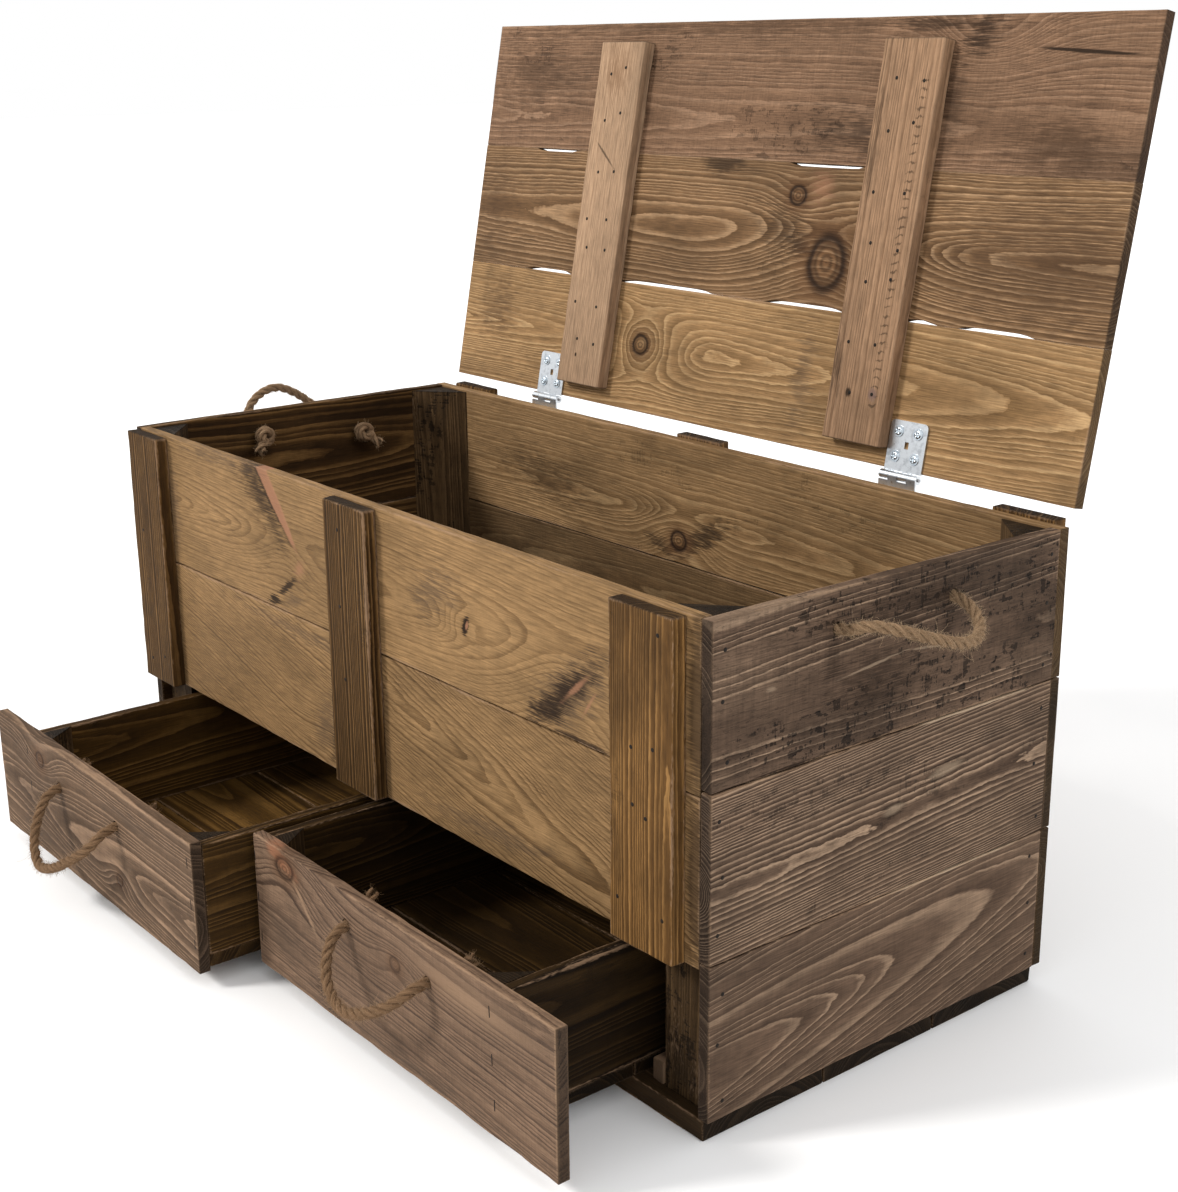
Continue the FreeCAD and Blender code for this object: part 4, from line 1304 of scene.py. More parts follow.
BACK_TOP = Pine(
    Stain.GOLD, 26.2, heart_across=-0.02, lean=0.045, ring=0.0040, sway=0.009, line=0.32, contrast=0.75,
    shade=0.90, saw=0.2, clouds=0.45,
    knots=(Knot(-0.02, -0.045, 0.01, lift=6.0, spread=6.0),),
    marks=(
        Mark(0.02, -0.035, 0.075, 0.018, SCAR, 0.8, 1.6, 0.9, angle=0.5),
        Mark(-0.05, -0.055, 0.04, 0.012, SCAR, 0.7, 1.6, 0.9, angle=-0.2),
        # A soft dark patch over the board's left part: painted shadow of the left wall.
        Mark(-0.26, -0.015, 0.11, 0.04, SCAR, 0.5, 1.4, angle=-0.2)))

LID_BOARDS: dict[str, Pine] = {
    "rear": Pine(
        Stain.GOLD, 61.5, heart_across=-0.004, heart_depth=0.030, lean=0.050, ring=0.0037, sway=0.0065,
        shade=1.15, rough=0.2, saw=0.15, clouds=0.4,
        knots=(Knot(-0.138, -0.004, 0.0105, lift=11.0, spread=6.5),),
        marks=(
            Mark(0.125, 0.0, 0.022, 0.075, GREY, 0.45, 1.2),
            Mark(-0.42, -0.02, 0.05, 0.06, SHADOW, 0.45, 1.2))),
    "middle": Pine(
        Stain.AMBER, 64.1, heart_across=0.004, heart_depth=0.026, lean=-0.028, ring=0.0037, sway=0.0060,
        line=0.34, contrast=1.0, shade=0.98, rough=0.3, saw=0.15, clouds=0.4,
        knots=(
            Knot(0.134, 0.026, 0.026, 0.9, lift=9.0, spread=4.2),
            Knot(0.079, -0.04, 0.0095, lift=3.0)),
        marks=(
            Mark(0.062, -0.006, 0.056, 0.04, SCAR, 0.55, 1.2, angle=0.3),
            Mark(0.092, 0.01, 0.026, 0.02, SCAR, 0.6, 1.2, 0.9, angle=-0.5),
            Mark(0.112, -0.05, 0.024, 0.024, BLUSH, 0.55, 1.0, angle=0.9),
            Mark(-0.045, -0.071, 0.046, 0.016, SCAR, 0.7, 0.8, 0.6),
            Mark(0.42, 0.0, 0.24, 0.11, SHADOW, 0.55, 0.8),
            Mark(-0.46, 0.0, 0.07, 0.09, SHADOW, 0.45, 0.8))),
    "front": Pine(
        Stain.DUSK, 67.8, heart_across=0.03, heart_depth=0.040, lean=0.016, ring=0.0038, sway=0.006,
        contrast=0.80, shade=1.14, rough=0.6, saw=0.6, clouds=0.5,
        knots=(Knot(0.299, -0.05, 0.012, lift=9.0, spread=6.0, strength=0.0),),
        marks=(
            Mark(0.4175, -0.0387, 0.074, 0.0024, SCAR, 0.95, 0.3, 0.5, angle=0.06),
            Mark(0.15, 0.04, 0.075, 0.034, SCAR, 0.6, 1.6),
            Mark(0.29, -0.052, 0.04, 0.022, SCAR, 0.85, 1.3, angle=-0.7),
            Mark(0.24, -0.066, 0.09, 0.009, SCAR, 0.75, 1.4),
            Mark(0.265, 0.01, 0.02, 0.075, SCAR, 0.5, 1.2),
            Mark(0.4, 0.045, 0.08, 0.035, SHADOW, 0.6, 1.4),
            Mark(-0.4, -0.02, 0.1, 0.06, SHADOW, 0.55, 1.4),
            Mark(-0.05, -0.067, 0.5, 0.012, SHADOW, 0.5, 1.2))),
}


# ---- The chest's sub-assemblies ----

def place_piece(piece: Piece, body: str, slot: str, *nodes: str) -> None:
    """Puts a piece in place and reports it.

    Args: piece: it. body: what it rides on. slot: its material slot, not used. nodes: what it stands for.
    """
    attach(piece, body)
    if nodes:
        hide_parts(*nodes)
    log.info("%s rides on %s with %d faces", piece.name, body, len(piece.data.polygons))


def node_box(node: str, place: Matrix) -> tuple[Vector, Vector]:
    """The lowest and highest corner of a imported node, before a matrix turned it."""
    level = moved(vertex_places(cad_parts[node].data), place.inverted())
    return Vector(level.min(axis=0)), Vector(level.max(axis=0))


@dataclass
class Timber:
    """A set of boards of one body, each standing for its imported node."""

    body: str
    place: Matrix

    def board(self, node: str, lie: Lie, slot: str, pine: Pine, **shape: Any) -> None:
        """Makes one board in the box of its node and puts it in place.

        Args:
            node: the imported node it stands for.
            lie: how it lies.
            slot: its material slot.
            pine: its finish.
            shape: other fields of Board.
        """
        low, high = node_box(node, self.place)
        piece = Board(node + "_wood", low, high, lie, pine, self.place, **shape).build()
        place_piece(piece, self.body, slot, node)

    def boards_across(self, node: str, slot: str, pine: Pine, count: int, joint: float,
                      nipped: float = 0.0) -> None:
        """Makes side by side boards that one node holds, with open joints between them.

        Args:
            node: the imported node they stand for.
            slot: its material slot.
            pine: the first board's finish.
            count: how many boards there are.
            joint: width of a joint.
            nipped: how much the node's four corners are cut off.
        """
        low, high = node_box(node, self.place)
        width = (high.y - low.y - joint * (count - 1)) / count
        strips = []
        for i in range(count):
            start = low.y + i * (width + joint)
            strips.append(Board(
                f"{node}_strip_{i}", Vector((low.x, start, low.z)), Vector((high.x, start + width, high.z)),
                Lie.FLAT, replace(pine, seed=pine.seed + 1.3 * i), self.place,
                nipped=nipped if i in (0, count - 1) else 0.0, nipped_side=0 if i == 0 else 1).build())
        place_piece(joined(node + "_wood", strips), self.body, slot, node)


@dataclass
class Carcass(Timber):
    """The base, walls, battens, posts and floor."""

    floor_boards: int = 3
    floor_joint: float = 0.001
    floor_corner_cut: float = 0.057
    cleat_width: float = 0.020

    def build(self) -> None:
        """Makes every board of the carcass."""
        self._base()
        self._ends()
        self._front()
        self._back()
        self._battens()
        self._posts()
        self._floor()

    def _base(self) -> None:
        """The base boards and the drawer guides."""
        for i, node in enumerate(("base_board_front", "base_board_middle", "base_board_rear")):
            # Dark stain that also paints the shade under the chest.
            pine = Pine(Stain.SHADE_BROWN, 2.1 + i, ring=0.006, shade=1.2)
            self.board(node, Lie.FLAT, "carcass_pine", pine, wear=0.0016)
        for i, node in enumerate(("drawer_guide_left", "drawer_guide_right")):
            pine = Pine(Stain.WALNUT, 7.1 + i, heart_across=0.2,
                        marks=(Mark(-0.203, 0.0, 0.01, 0.03, PALE_EDGE, 1.0, 0.2, 0.6),))
            self.board(node, Lie.ACROSS, "carcass_pine", pine)

    def _ends(self) -> None:
        """The boards of the two end walls."""
        for level, right in RIGHT_END.items():
            for side, pine in (("right", right), ("left", replace(LEFT_END, seed=right.seed + 4.4))):
                holes = END_HANDLES[side].hole_places() if level == "top" else ()
                self.board(f"{side}_side_board_{level}", Lie.END, "end_pine", pine, holes=holes)

    def _front(self) -> None:
        """The two boards of the front wall."""
        for level, pine in FRONT_WALL.items():
            self.board("front_board_" + level, Lie.FRONT, "front_pine", pine)

    def _back(self) -> None:
        """The three boards of the back wall."""
        self.board("back_board_top", Lie.FRONT, "carcass_pine", BACK_TOP)
        for i, level in enumerate(("middle", "bottom")):
            # The lower back boards are drawn darker: painted shade low in the compartment.
            pine = Pine(Stain.GOLD, 28.6 + 3 * i, heart_across=0.03, lean=-0.03, contrast=0.7, shade=0.47)
            self.board("back_board_" + level, Lie.FRONT, "carcass_pine", pine)

    def _battens(self) -> None:
        """The upright battens outside the front and the back."""
        looks = {"left": (0.80, 0.90), "centre": (0.68, 1.0), "right": (1.50, 0.60)}
        for i, (side, (shade, contrast)) in enumerate(looks.items()):
            front = Pine(
                Stain.BARK, 31.0 + 2.2 * i, heart_across=0.075 - 0.02 * i, heart_depth=0.012, lean=0.010,
                ring=0.0036, sway=0.0040, line=0.34, contrast=contrast, shade=shade, saw=0.1)
            back = Pine(Stain.BARK, 38.5 + 1.7 * i, heart_across=-0.06, ring=0.005,
                        shade=1.05)
            for wall, pine in (("front", front), ("back", back)):
                self.board(f"{wall}_batten_{side}", Lie.UPRIGHT, "batten_pine", pine, wear=0.0015)

    def _posts(self) -> None:
        """The triangular corner posts."""
        for i, (depth, side) in enumerate((d, s) for d in ("front", "back") for s in ("left", "right")):
            node = f"corner_post_{depth}_{side}"
            low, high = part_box(node)
            x, far_x = (low.x, high.x) if side == "left" else (high.x, low.x)
            y, far_y = (low.y, high.y) if depth == "front" else (high.y, low.y)
            post = CornerPost((x, y), (far_x - x, far_y - y), low.z, high.z, seed=40 + i)
            # Dark stain that also paints the shade in the bay; the back posts are drawn brighter than the
            # front ones, as painted light.
            pine = Pine(Stain.SHADE_BROWN, 43.0 + i, heart_across=0.02, ring=0.005, contrast=0.7, rough=0.9,
                        shade=1.25 if depth == "front" else 2.0)
            place_piece(post_piece(node + "_wood", (post,), pine), self.body, "carcass_pine", node)

    def _floor(self) -> None:
        """The floor boards of the upper compartment and the cleats under their ends."""
        self.boards_across("floor_boards", "carcass_pine", Pine(Stain.WALNUT, 51.0, ring=0.006, shade=0.85),
                           self.floor_boards, self.floor_joint, nipped=self.floor_corner_cut)
        low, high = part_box("floor_cleats")
        # The cleats' dark stain also paints the shade under the floor.
        cleats = [Board(f"cleat_{i}", Vector((start, low.y, low.z)),
                        Vector((start + self.cleat_width, high.y, high.z)), Lie.ACROSS,
                        Pine(Stain.SHADE_BROWN, 55.0 + i, heart_across=0.1), self.place).build()
                  for i, start in enumerate((low.x, high.x - self.cleat_width))]
        place_piece(joined("floor_cleats_wood", cleats), self.body, "carcass_pine", "floor_cleats")


ROPE_STEP, KNOT_STEP = 0.0015, 0.0014  # how far apart the rings of a strand lie
KNOT_POINTS = 20
KNOT_LEAD = 0.004  # how far its rope starts before the board's inner face, and runs straight behind it
KNOT_MIDDLE = 0.011  # how far behind the board a knot's end comes out
KNOT_PULL = 0.97  # how thin a knot is pulled
KNOT_FRAY = 0.010


@dataclass(frozen=True)
class RopeHandle:
    """A rope through two holes of a board, knotted behind it.

    A place on the board is (along, out of its outer face, height).
    """

    name: str
    body: str
    node: str
    knot_node: str
    origin: Vector  # the outer face where "along" starts
    along: Vector
    outward: Vector
    holes: tuple[Span, Span]
    route: tuple[Triple, ...]
    tails: tuple[Triple, Triple]  # which way each knot's end points
    length: float
    seed: int
    fibre_length: float = 0.0036
    fibre_thickness: float = 0.00006
    fibres: float = 380000.0  # how many loose fibres stand on a square metre of rope
    knot_fibres: float = 90000.0
    wisp_length: float = 0.0120
    wisps: float = 3600.0
    knot_turns: float = 2.2
    knot_radius: float = 0.0088
    knot_start: float = 0.0065  # how far behind the board its turns start
    knot_depth: float = 0.0125
    tail_reach: Triple = (0.014, 0.020, 0.027)

    def place(self, spot: Triple) -> Vector:
        """A place on the board in the model's frame."""
        along, out, height = spot
        return self.origin + self.along * along + self.outward * out + Z * height

    def hole_places(self) -> tuple[Vector, ...]:
        """The middles of the two holes."""
        return tuple(self.place((along, -WALL / 2, height)) for along, height in self.holes)

    def build(self, jute: Jute, fuzz: FuzzPattern) -> None:
        """Makes the rope, its knots and its loose fibres. Args: jute: the finish. fuzz: the fibres' tree."""
        twisted, hair = jute.material(), jute.hair_material()
        seats = [self.place((along, -WALL, height)) for along, height in self.holes]
        path = spline_points([seats[0]] + [self.place(spot) for spot in self.route] + [seats[1]], ROPE_STEP)
        rope = Rope(path).build(self.name)
        rope.data.materials.append(twisted)
        place_piece(rope, self.body, "jute_rope", self.node)
        knots = joined(self.name + "_knots", [self._knot(seat, tail, i) for i, (seat, tail)
                                              in enumerate(zip(seats, self.tails))])
        knots.data.materials.clear()
        knots.data.materials.append(twisted)
        place_piece(knots, self.body, "jute_rope", self.knot_node)
        fibres = [self._fibres(rope, fuzz, hair, self.fibres, self.fibre_length, "_fibres"),
                  self._fibres(rope, fuzz, hair, self.wisps, self.wisp_length, "_wisps"),
                  self._fibres(knots, fuzz, hair, self.knot_fibres, self.fibre_length, "_knot_fibres")]
        for piece in fibres:
            place_piece(piece, self.body, "jute_rope")

    def _fibres(self, rope: Piece, fuzz: FuzzPattern, hair: Finish, density: float,
                length: float, suffix: str) -> Piece:
        """Loose fibres over a piece of rope.

        Args: rope: it. fuzz: the tree. hair: their finish. density, length: theirs. suffix: of the name.
        Returns: the fibres.
        """
        holder = new_object(self.name + suffix + "_holder", rope.data.copy())
        return fuzz.grow(holder, self.name + suffix, {
            "Density": density, "Frayed Density": 3 * density, "Length": length,
            "Thickness": self.fibre_thickness, "Seed": self.seed, "Material": hair})

    def _knot(self, seat: Vector, tail: Triple, number: int) -> Piece:
        """A knot pulled against the board: the rope wound on itself, with its loosened end standing off.

        Args: seat: where the rope comes out of the board. tail: where its end points. number: the knot's.
        Returns: the knot.
        """
        inward = -self.outward
        first = self.along
        second = inward.cross(first)
        tail = Vector(tail).normalized()
        heading = math.atan2(tail.dot(second), tail.dot(first))
        spots = [seat - inward * KNOT_LEAD, seat + inward * KNOT_LEAD]
        for i in range(KNOT_POINTS):  # it opens at first, then closes over its end
            share = i / (KNOT_POINTS - 1)
            angle = heading - 2 * math.pi * self.knot_turns * (1 - share) + 0.5
            reach = self.knot_radius * min(1.0, 0.45 + 1.8 * share) * (1.0 - 0.35 * share ** 4)
            spots.append(seat + inward * (self.knot_start + self.knot_depth * share)
                         + reach * (math.cos(angle) * first + math.sin(angle) * second))
        middle = seat + inward * KNOT_MIDDLE
        spots += [middle + tail * length for length in self.tail_reach]
        rope = Rope(spline_points(spots, KNOT_STEP), diameter=ROPE_DIAMETER * KNOT_PULL, fray=KNOT_FRAY)
        return rope.build(f"{self.name}_knot_{number}")


END_HANDLES = {
    "right": RopeHandle(
        "right_end_rope", "root", "rope_handle_right_end", "rope_knots_right_end", Vector((0.5, 0, 0)), Y, X,
        holes=((-0.08, 0.4243), (0.0625, 0.4252)),
        route=((-0.08, 0.011, 0.4243), (-0.077, 0.03, 0.4345), (-0.057, 0.048, 0.4295),
               (-0.029, 0.059, 0.419), (0.002, 0.061, 0.409), (0.033, 0.053, 0.4045),
               (0.058, 0.034, 0.412), (0.0625, 0.011, 0.4252)),
        tails=((-1, -1, -1), (-1, 1, -1)), length=0.246, seed=3),
    "left": RopeHandle(
        "left_end_rope", "root", "rope_handle_left_end", "rope_knots_left_end", Vector((-0.5, 0, 0)), Y, -X,
        holes=((-0.0637, 0.4287), (0.0772, 0.4158)),
        route=((-0.0637, 0.011, 0.4287), (-0.064, 0.021, 0.449), (-0.046, 0.028, 0.4685),
               (-0.015, 0.032, 0.4785), (0.013, 0.029, 0.466), (0.034, 0.024, 0.448),
               (0.059, 0.021, 0.431), (0.0772, 0.011, 0.4158)),
        tails=((1, -1, -1), (1, 1, -1)), length=0.236, seed=5),
}

DRAWER_HANDLES = {
    "right": RopeHandle(
        "right_drawer_rope", "right_drawer", "right_drawer_rope_handle", "right_drawer_rope_knots",
        Vector((0.003, -0.362, 0)), X, -Y,
        holes=((0.1694, 0.1224), (0.3001, 0.1195)),
        route=((0.1694, 0.01, 0.1224), (0.174, 0.025, 0.103), (0.193, 0.037, 0.082),
               (0.229, 0.043, 0.074), (0.267, 0.041, 0.089), (0.296, 0.031, 0.108),
               (0.3001, 0.0105, 0.1195)),
        tails=((-1, 1, 1), (1, 1, 1)), length=0.232, seed=7),
    "left": RopeHandle(
        "left_drawer_rope", "left_drawer", "left_drawer_rope_handle", "left_drawer_rope_knots",
        Vector((-0.011, -0.4215, 0)), -X, -Y,
        holes=((0.3146, 0.1125), (0.1724, 0.1147)),
        route=((0.3146, 0.011, 0.1125), (0.317, 0.024, 0.091), (0.307, 0.038, 0.064),
               (0.28, 0.046, 0.044), (0.243, 0.046, 0.054), (0.205, 0.042, 0.075),
               (0.172, 0.031, 0.098), (0.1724, 0.0105, 0.1147)),
        tails=((-1, 1, 1), (1, 1, 1)), length=0.279, seed=9),
}


@dataclass
class Lid(Timber):
    """The three boards of the lid and the two battens under it, made level and turned about the pin."""

    hollow_depth: float = 0.003
    joint_closing: float = 0.00014
    rear_hollows: tuple[Span, ...] = (
        (-0.361, -0.277), (-0.184, -0.023), (0.063, 0.173), (0.263, 0.294), (0.328, 0.415))
    front_hollows: tuple[Span, ...] = ((-0.372, -0.293), (0.067, 0.175))
    board_wear: float = 0.0008

    def build(self) -> None:
        """Makes the lid."""
        hollows = tuple((side, start, end, self.hollow_depth)
                        for side, spans in ((1, self.rear_hollows), (0, self.front_hollows))
                        for start, end in spans)
        reach = self.joint_closing
        for row, let_out, own in (("rear", (reach, 0.0), ()), ("middle", (reach, reach), hollows),
                                  ("front", (0.0, reach), ())):
            self.board("lid_board_" + row, Lie.FLAT, "lid_pine", LID_BOARDS[row], ragged=0.0,
                       wear=self.board_wear, hollows=own, let_out=let_out)
        for i, (side, stain, shade) in enumerate((("left", Stain.SAND, 1.22), ("right", Stain.CLAY, 1.14))):
            pine = Pine(
                stain, 71.3 + 2.9 * i, heart_across=0.09 - 0.16 * i, lean=0.004,
                ring=0.0042, sway=0.003, line=0.32, contrast=0.45 + 0.35 * i, shade=shade, rough=0.2,
                saw=0.1, clouds=0.3, marks=self._batten_marks(side))
            self.board("lid_batten_" + side, Lie.ACROSS, "batten_pine", pine)

    @staticmethod
    def _batten_marks(side: str) -> tuple[Mark, ...]:
        """Small dark dents and stains of a lid batten. Args: side: which. Returns: the marks."""
        if side == "left":
            return (Mark(-0.165, -0.005, 0.04, 0.03, (0.17, 0.09, 0.045), 0.6, 1.4),
                    Mark(-0.07, -0.006, 0.03, 0.002, SCAR, 0.7, 0.5, 0.6, angle=0.9),
                    Mark(0.165, -0.01, 0.0035, 0.0022, SCAR, 1.0, 0.2, 0.6))
        dents = Mark(0.0, 0.022, 0.0016, 0.0065, SCAR, 0.62, 1.1, 0.6, angle=0.15,
                     spacing=0.0088, half_run=0.165)
        return (dents,
                Mark(0.15, -0.012, 0.006, 0.0045, SCAR, 0.9, 0.6, 0.6),
                Mark(0.148, 0.02, 0.009, 0.007, (0.16, 0.1, 0.08), 0.8, 0.5, 0.6),
                Mark(0.125, -0.034, 0.05, 0.012, SCAR, 0.6, 1.4),
                Mark(-0.1, -0.03, 0.08, 0.01, SCAR, 0.4, 1.4))


@dataclass
class Drawer(Timber):
    """One drawer: its panel, bored for the rope handle, its box and its corner blocks."""

    side: str
    panel: Pine
    # How bright each part of the box is drawn: painted light and shade, darker on the outer side in shade
    # and brighter where light falls in.
    light_and_shade: tuple[float, ...] = (0.8, 0.45, 0.8, 1.1)  # inner side, outer side, back, bottom
    block_legs: tuple[float, float] = (0.028, 0.038)
    bottom_boards: int = 3
    bottom_joint: float = 0.001

    def build(self) -> None:
        """Makes the drawer's wood."""
        prefix = self.side + "_drawer_"
        seed = 81.0 if self.side == "right" else 93.0
        self.board(prefix + "front", Lie.FRONT, "drawer_front_pine", self.panel, wear=0.0013,
                   holes=DRAWER_HANDLES[self.side].hole_places())
        # The box's near-black stain paints the shade inside the drawer.
        box = Pine(Stain.SHADE_NEAR_BLACK, seed, heart_across=0.03, ring=0.0060, contrast=0.9)
        parts = (("inner_side", Lie.END), ("outer_side", Lie.END), ("back", Lie.FRONT))
        for i, (part, lie) in enumerate(parts):
            self.board(prefix + part, lie, "drawer_box_pine",
                       replace(box, seed=seed + 1.9 * i, shade=self.light_and_shade[i]))
        self.boards_across(prefix + "bottom", "drawer_box_pine",
                           Pine(Stain.SHADE_NEAR_BLACK, seed + 7, ring=0.0065, shade=self.light_and_shade[3]), self.bottom_boards,
                           self.bottom_joint)
        low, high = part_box(prefix + "corner_blocks")
        leg_x, leg_y = self.block_legs
        blocks = (CornerPost((low.x, low.y), (leg_x, leg_y), low.z, high.z, seed=int(seed)),
                  CornerPost((high.x, low.y), (-leg_x, leg_y), low.z, high.z, seed=int(seed) + 1))
        # The blocks' dark stain also paints the shade inside the drawer.
        piece = post_piece(prefix + "corner_blocks_wood", blocks,
                           Pine(Stain.SHADE_BROWN, seed + 11, ring=0.004, rough=0.7, shade=1.3))
        place_piece(piece, self.body, "drawer_box_pine", prefix + "corner_blocks")


RIGHT_PANEL = Pine(
    Stain.ROSE, 83.3, heart_across=0.075, lean=0.020, drift=-0.05, ring=0.0054, sway=0.0065, line=0.36,
    contrast=0.95, shade=1.02, rough=0.25, saw=0.45, clouds=0.3,
    knots=(
        Knot(-0.18, 0.052, 0.01, 1.5, lift=6.0, spread=8.0, strength=0.8),
        Knot(0.01, 0.03, 0.006, lift=2.5, spread=6.0, strength=0.5)),
    marks=(
        Mark(-0.188, 0.06, 0.038, 0.01, (0.3, 0.13, 0.07), 0.75, 0.7, 0.6, angle=-0.35),
        Mark(-0.15, 0.03, 0.055, 0.004, PALE_EDGE, 0.6, 0.9, 0.9, angle=-0.8),
        Mark(-0.11, -0.055, 0.032, 0.01, SCAR, 0.7, 1.4, 0.9, angle=-0.5),
        Mark(-0.19, -0.02, 0.05, 0.04, GREY, 0.5, 1.2),
        Mark(0.02, -0.06, 0.24, 0.012, GREY, 0.5, 1.2),
        Mark(0.12, 0.042, 0.12, 0.02, PALE_EDGE, 0.4, 0.8, angle=-0.05)))
LEFT_PANEL = Pine(
    Stain.WALNUT, 95.9, heart_across=-0.012, heart_depth=0.034, lean=-0.060, drift=-0.04, ring=0.0050,
    line=0.26, shade=1.04, rough=0.3, saw=0.45, clouds=0.35,
    knots=(
        Knot(-0.124, 0.044, 0.008, lift=4.0, spread=6.0, strength=0.7),
        Knot(0.067, -0.032, 0.006, lift=3.0, spread=6.0, strength=0.5)),
    marks=(
        Mark(0.1, 0.045, 0.1, 0.014, GREY, 0.5, 1.2), Mark(-0.14, -0.05, 0.08, 0.014, GREY, 0.45, 1.2)))


@dataclass
class Hinges:
    """Two butt hinges: packed leaves and pins in bright metal, with detailed screw heads."""

    centres: tuple[float, float] = (-0.284, 0.291)
    spread: float = 0.0125
    rows: tuple[float, float] = (0.019, 0.044)
    face_drop: float = 0.0025  # from the pin's middle to a leaf's outer face

    def build(self, pattern: HeadPattern) -> None:
        """Finishes the leaves and pins, and sets the screws. Args: pattern: the heads' tree."""
        zinc = ZINC.material()
        for leaf in ("wall_leaf_left", "wall_leaf_right", "lid_leaf_left", "lid_leaf_right"):
            self._finish("hinge_" + leaf, zinc)
        self._finish("hinge_pins", PIN_STEEL.material())
        metal = SCREW_STEEL.material()
        wall, under_lid = [], []
        for number, (centre, across, row) in enumerate(
                (c, a, r) for c in self.centres for a in (-self.spread, self.spread) for r in self.rows):
            spin = 0.4 + 0.9 * number
            wall.append(Spot(Vector((centre + across, PIN.y - self.face_drop, PIN.z - row)), Y, spin))
            seat = Vector((centre + across, PIN.y - row, PIN.z + self.face_drop))
            under_lid.append(Spot(seat, -Z, spin + 0.5).carried(LID_TURN))
        for name, spots, body, node in (("wall_screw_heads", wall, "root", "hinge_wall_screws"),
                                        ("lid_screw_heads", under_lid, "lid", "hinge_lid_screws")):
            place_piece(set_heads(name, spots, screw_head(), pattern, metal), body, "screw_steel", node)

    @staticmethod
    def _finish(node: str, material: Finish) -> None:
        """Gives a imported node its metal. Args: node: its name. material: the metal."""
        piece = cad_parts[node]
        for slot in piece.material_slots:
            slot.material = material
        log.info("%s keeps its packed shape in %s", node, material.name)


@dataclass
class Nails:
    """Nail heads and staples of each body."""

    end_face: float = 0.500
    batten_face: float = 0.2335
    end_inset: float = 0.013  # how far the nails of an end wall are from its boards' ends
    end_rows: Triple = (0.14, 0.5, 0.84)  # shares of a board's width
    batten_heights: tuple[float, ...] = (0.030, 0.118, 0.182, 0.272)
    batten_rows: Span = (0.27, 0.74)
    left_out: float = 0.35  # share of the battens' nails that doesn't show
    end_stray: float = 0.005  # how far a nail of an end wall may be off its place
    batten_stray: float = 0.012
    lid_stray: float = 0.007
    lid_places: tuple[float, ...] = (0.035, 0.085, 0.150, 0.205, 0.235, 0.300, 0.352)
    lid_rows: Span = (0.28, 0.70)
    staple_inset: float = 0.006  # half of a box side's thickness
    staple_rows: Triple = (0.22, 0.52, 0.83)

    def build(self, pattern: HeadPattern) -> None:
        """Sets every nail and staple. Args: pattern: the heads' tree."""
        metal = NAIL_STEEL.material()
        groups = (("carcass_nails", self._carcass(), nail_head, "root"),
                  ("lid_nails", self._lid(), nail_head, "lid"),
                  ("right_drawer_staples", self._panel("right"), staple_crown, "right_drawer"),
                  ("left_drawer_staples", self._panel("left"), staple_crown, "left_drawer"))
        for name, spots, shape, body in groups:
            place_piece(set_heads(name, spots, shape(), pattern, metal), body, "screw_steel")

    def _carcass(self) -> list[Spot]:
        """Nails through the ends of the end boards and through the battens. Returns: their spots."""
        rng = np.random.default_rng(17)
        spots = []
        for level in ("bottom", "middle", "top"):
            low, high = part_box("right_side_board_" + level)
            for share in self.end_rows:
                for y in (low.y + self.end_inset, high.y - self.end_inset):
                    dy, dz = rng.uniform(-self.end_stray, self.end_stray, 2)
                    height = low.z + share * (high.z - low.z) + dz
                    spots.append(Spot(Vector((self.end_face, y + dy, height)), X))
                    spots.append(Spot(Vector((-self.end_face, y - dy, height)), -X))
        for side in ("left", "centre", "right"):
            for row, face, aim in (("front", -self.batten_face, -Y), ("back", self.batten_face, Y)):
                low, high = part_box(f"{row}_batten_{side}")
                for height in self.batten_heights:
                    for share in self.batten_rows:
                        dx, dz = rng.uniform(-self.batten_stray, self.batten_stray, 2)
                        if rng.random() < self.left_out:
                            continue
                        x = low.x + share * (high.x - low.x) + dx
                        spots.append(Spot(Vector((x, face, low.z + height + dz)), aim))
        return spots

    def _lid(self) -> list[Spot]:
        """Nails through the lid's battens, on their underside. Returns: their spots."""
        rng = np.random.default_rng(23)
        spots = []
        for side in ("left", "right"):
            low, high = node_box("lid_batten_" + side, LID_TURN)
            for place in self.lid_places:
                for share in self.lid_rows:
                    dx, dy = rng.uniform(-self.lid_stray, self.lid_stray, 2)
                    x = low.x + share * (high.x - low.x) + dx
                    spots.append(Spot(Vector((x, low.y + place + dy, low.z)), -Z).carried(LID_TURN))
        return spots

    def _panel(self, side: str) -> list[Spot]:
        """Staples through a panel into the drawer's sides. Args: side: the drawer. Returns: their spots."""
        low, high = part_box(side + "_drawer_front")
        box_low, box_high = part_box(side + "_drawer_bottom")
        spots = []
        for x in (box_low.x + self.staple_inset, box_high.x - self.staple_inset):
            for i, share in enumerate(self.staple_rows):
                place = Vector((x - 0.002 * i, low.y, low.z + share * (high.z - low.z)))
                spots.append(Spot(place, -Y, math.pi / 2 + 0.03 * i))
        return spots


# ---- The stage ----

FLOOR_REACH = 24.0


def set_camera() -> None:
    """Puts the camera at the chosen view."""
    level = math.cos(CAMERA_ELEVATION)
    back = Vector((math.sin(CAMERA_AZIMUTH) * level, -math.cos(CAMERA_AZIMUTH) * level,
                   math.sin(CAMERA_ELEVATION)))
    right = (-back).cross(Z).normalized()
    up = back.cross(right)
    turned_right = math.cos(CAMERA_ROLL) * right + math.sin(CAMERA_ROLL) * up
    turned_up = math.cos(CAMERA_ROLL) * up - math.sin(CAMERA_ROLL) * right
    data = bpy.data.cameras.new("camera")
    data.lens = CAMERA_LENS
    data.sensor_width = SENSOR_SIDE
    data.clip_start = 0.05
    camera = new_object("camera", data)
    rotation = Matrix((turned_right, turned_up, back)).transposed()
    camera.matrix_world = Matrix.Translation(CAMERA_PLACE) @ rotation.to_4x4()
    bpy.context.scene.camera = camera


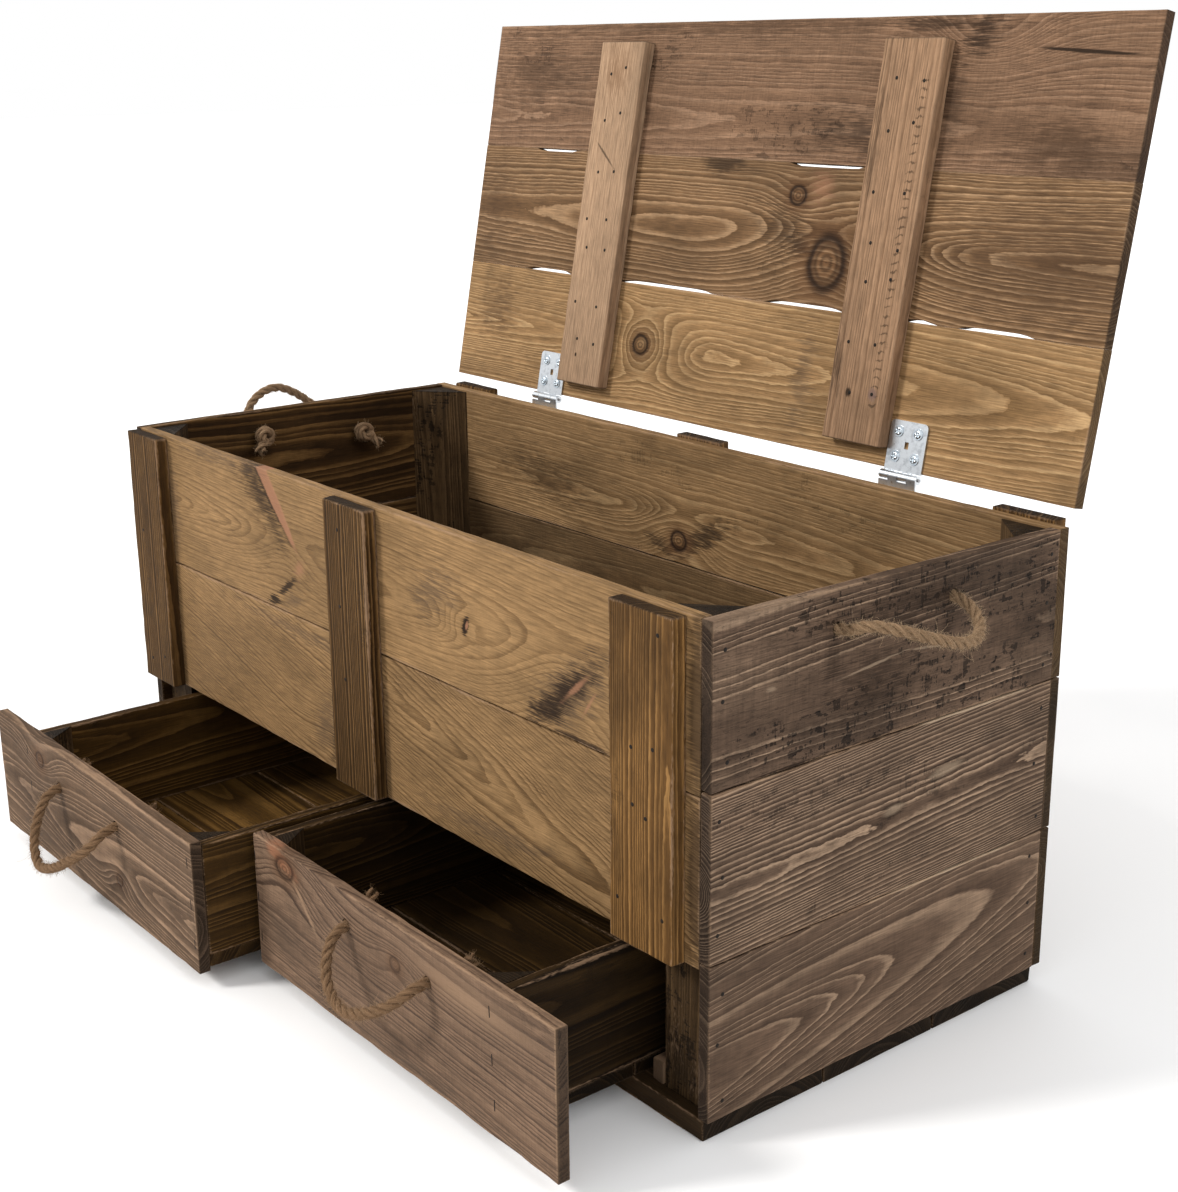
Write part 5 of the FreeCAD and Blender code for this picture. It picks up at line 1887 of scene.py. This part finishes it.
def sun(name: str, towards: Vector, power: float, softness: float, colour: Colour) -> None:
    """A far soft light.

    Args:
        name: its name.
        towards: direction from the chest to the light.
        power: its strength.
        softness: the angle that the light fills in the sky.
        colour: its tint.
    """
    data = bpy.data.lights.new(name, "SUN")
    data.energy = power
    data.angle = softness
    data.color = colour
    light = new_object(name, data)
    light.location = towards * 3.0
    light.rotation_euler = (-towards).to_track_quat("-Z", "Y").to_euler()


def set_stage() -> None:
    """The pale floor, the soft lights and the white surroundings."""
    corners = FLOOR_REACH * np.array([(-1, -1, 0), (1, -1, 0), (1, 1, 0), (-1, 1, 0)])
    floor = new_piece("studio_floor", corners, [[0, 1, 2, 3]])
    bench = ShaderBench("studio_floor")
    x, y, z = bench.object_place()
    grit = bench.noise(x * 60.0, y * 60.0, z, 2.0)
    floor.data.materials.append(bench.surface((0.95, 0.95, 0.95), 0.9, grit, relief=0.0002, strength=0.1))
    world = bpy.data.worlds.new("studio")
    world.use_nodes = True
    background = world.node_tree.nodes["Background"]
    background.inputs["Color"].default_value = (1.0, 1.0, 1.0, 1.0)
    background.inputs["Strength"].default_value = 1.0
    scene = bpy.context.scene
    scene.world = world
    scene.view_settings.view_transform = "Standard"
    sun("key_light", Vector((-0.42, -0.72, 0.62)), 2.3, 0.22, (1.0, 0.98, 0.95))
    sun("side_light", Vector((0.80, 0.10, 0.62)), 0.6, 0.5, (0.97, 0.98, 1.0))


def main() -> None:
    """Builds the chest and its stage."""
    logging.basicConfig(level=logging.INFO, format="%(name)s: %(message)s")
    set_camera()
    fuzz, heads = FuzzPattern(), HeadPattern()
    for handle in END_HANDLES.values():
        handle.build(Jute(), fuzz)
    for handle in DRAWER_HANDLES.values():
        handle.build(SHADE_PAINTED_JUTE, fuzz)
    set_stage()
    Carcass("root", LEVEL).build()
    Lid("lid", LID_TURN).build()
    Drawer("right_drawer", LEVEL, side="right", panel=RIGHT_PANEL).build()
    # The left drawer's box is drawn much brighter: painted light where light falls into it.
    Drawer("left_drawer", LEVEL, side="left", panel=LEFT_PANEL, light_and_shade=(1.4, 2.2, 2.4, 2.7)).build()
    Hinges().build(heads)
    Nails().build(heads)


if __name__ == "__main__":
    main()
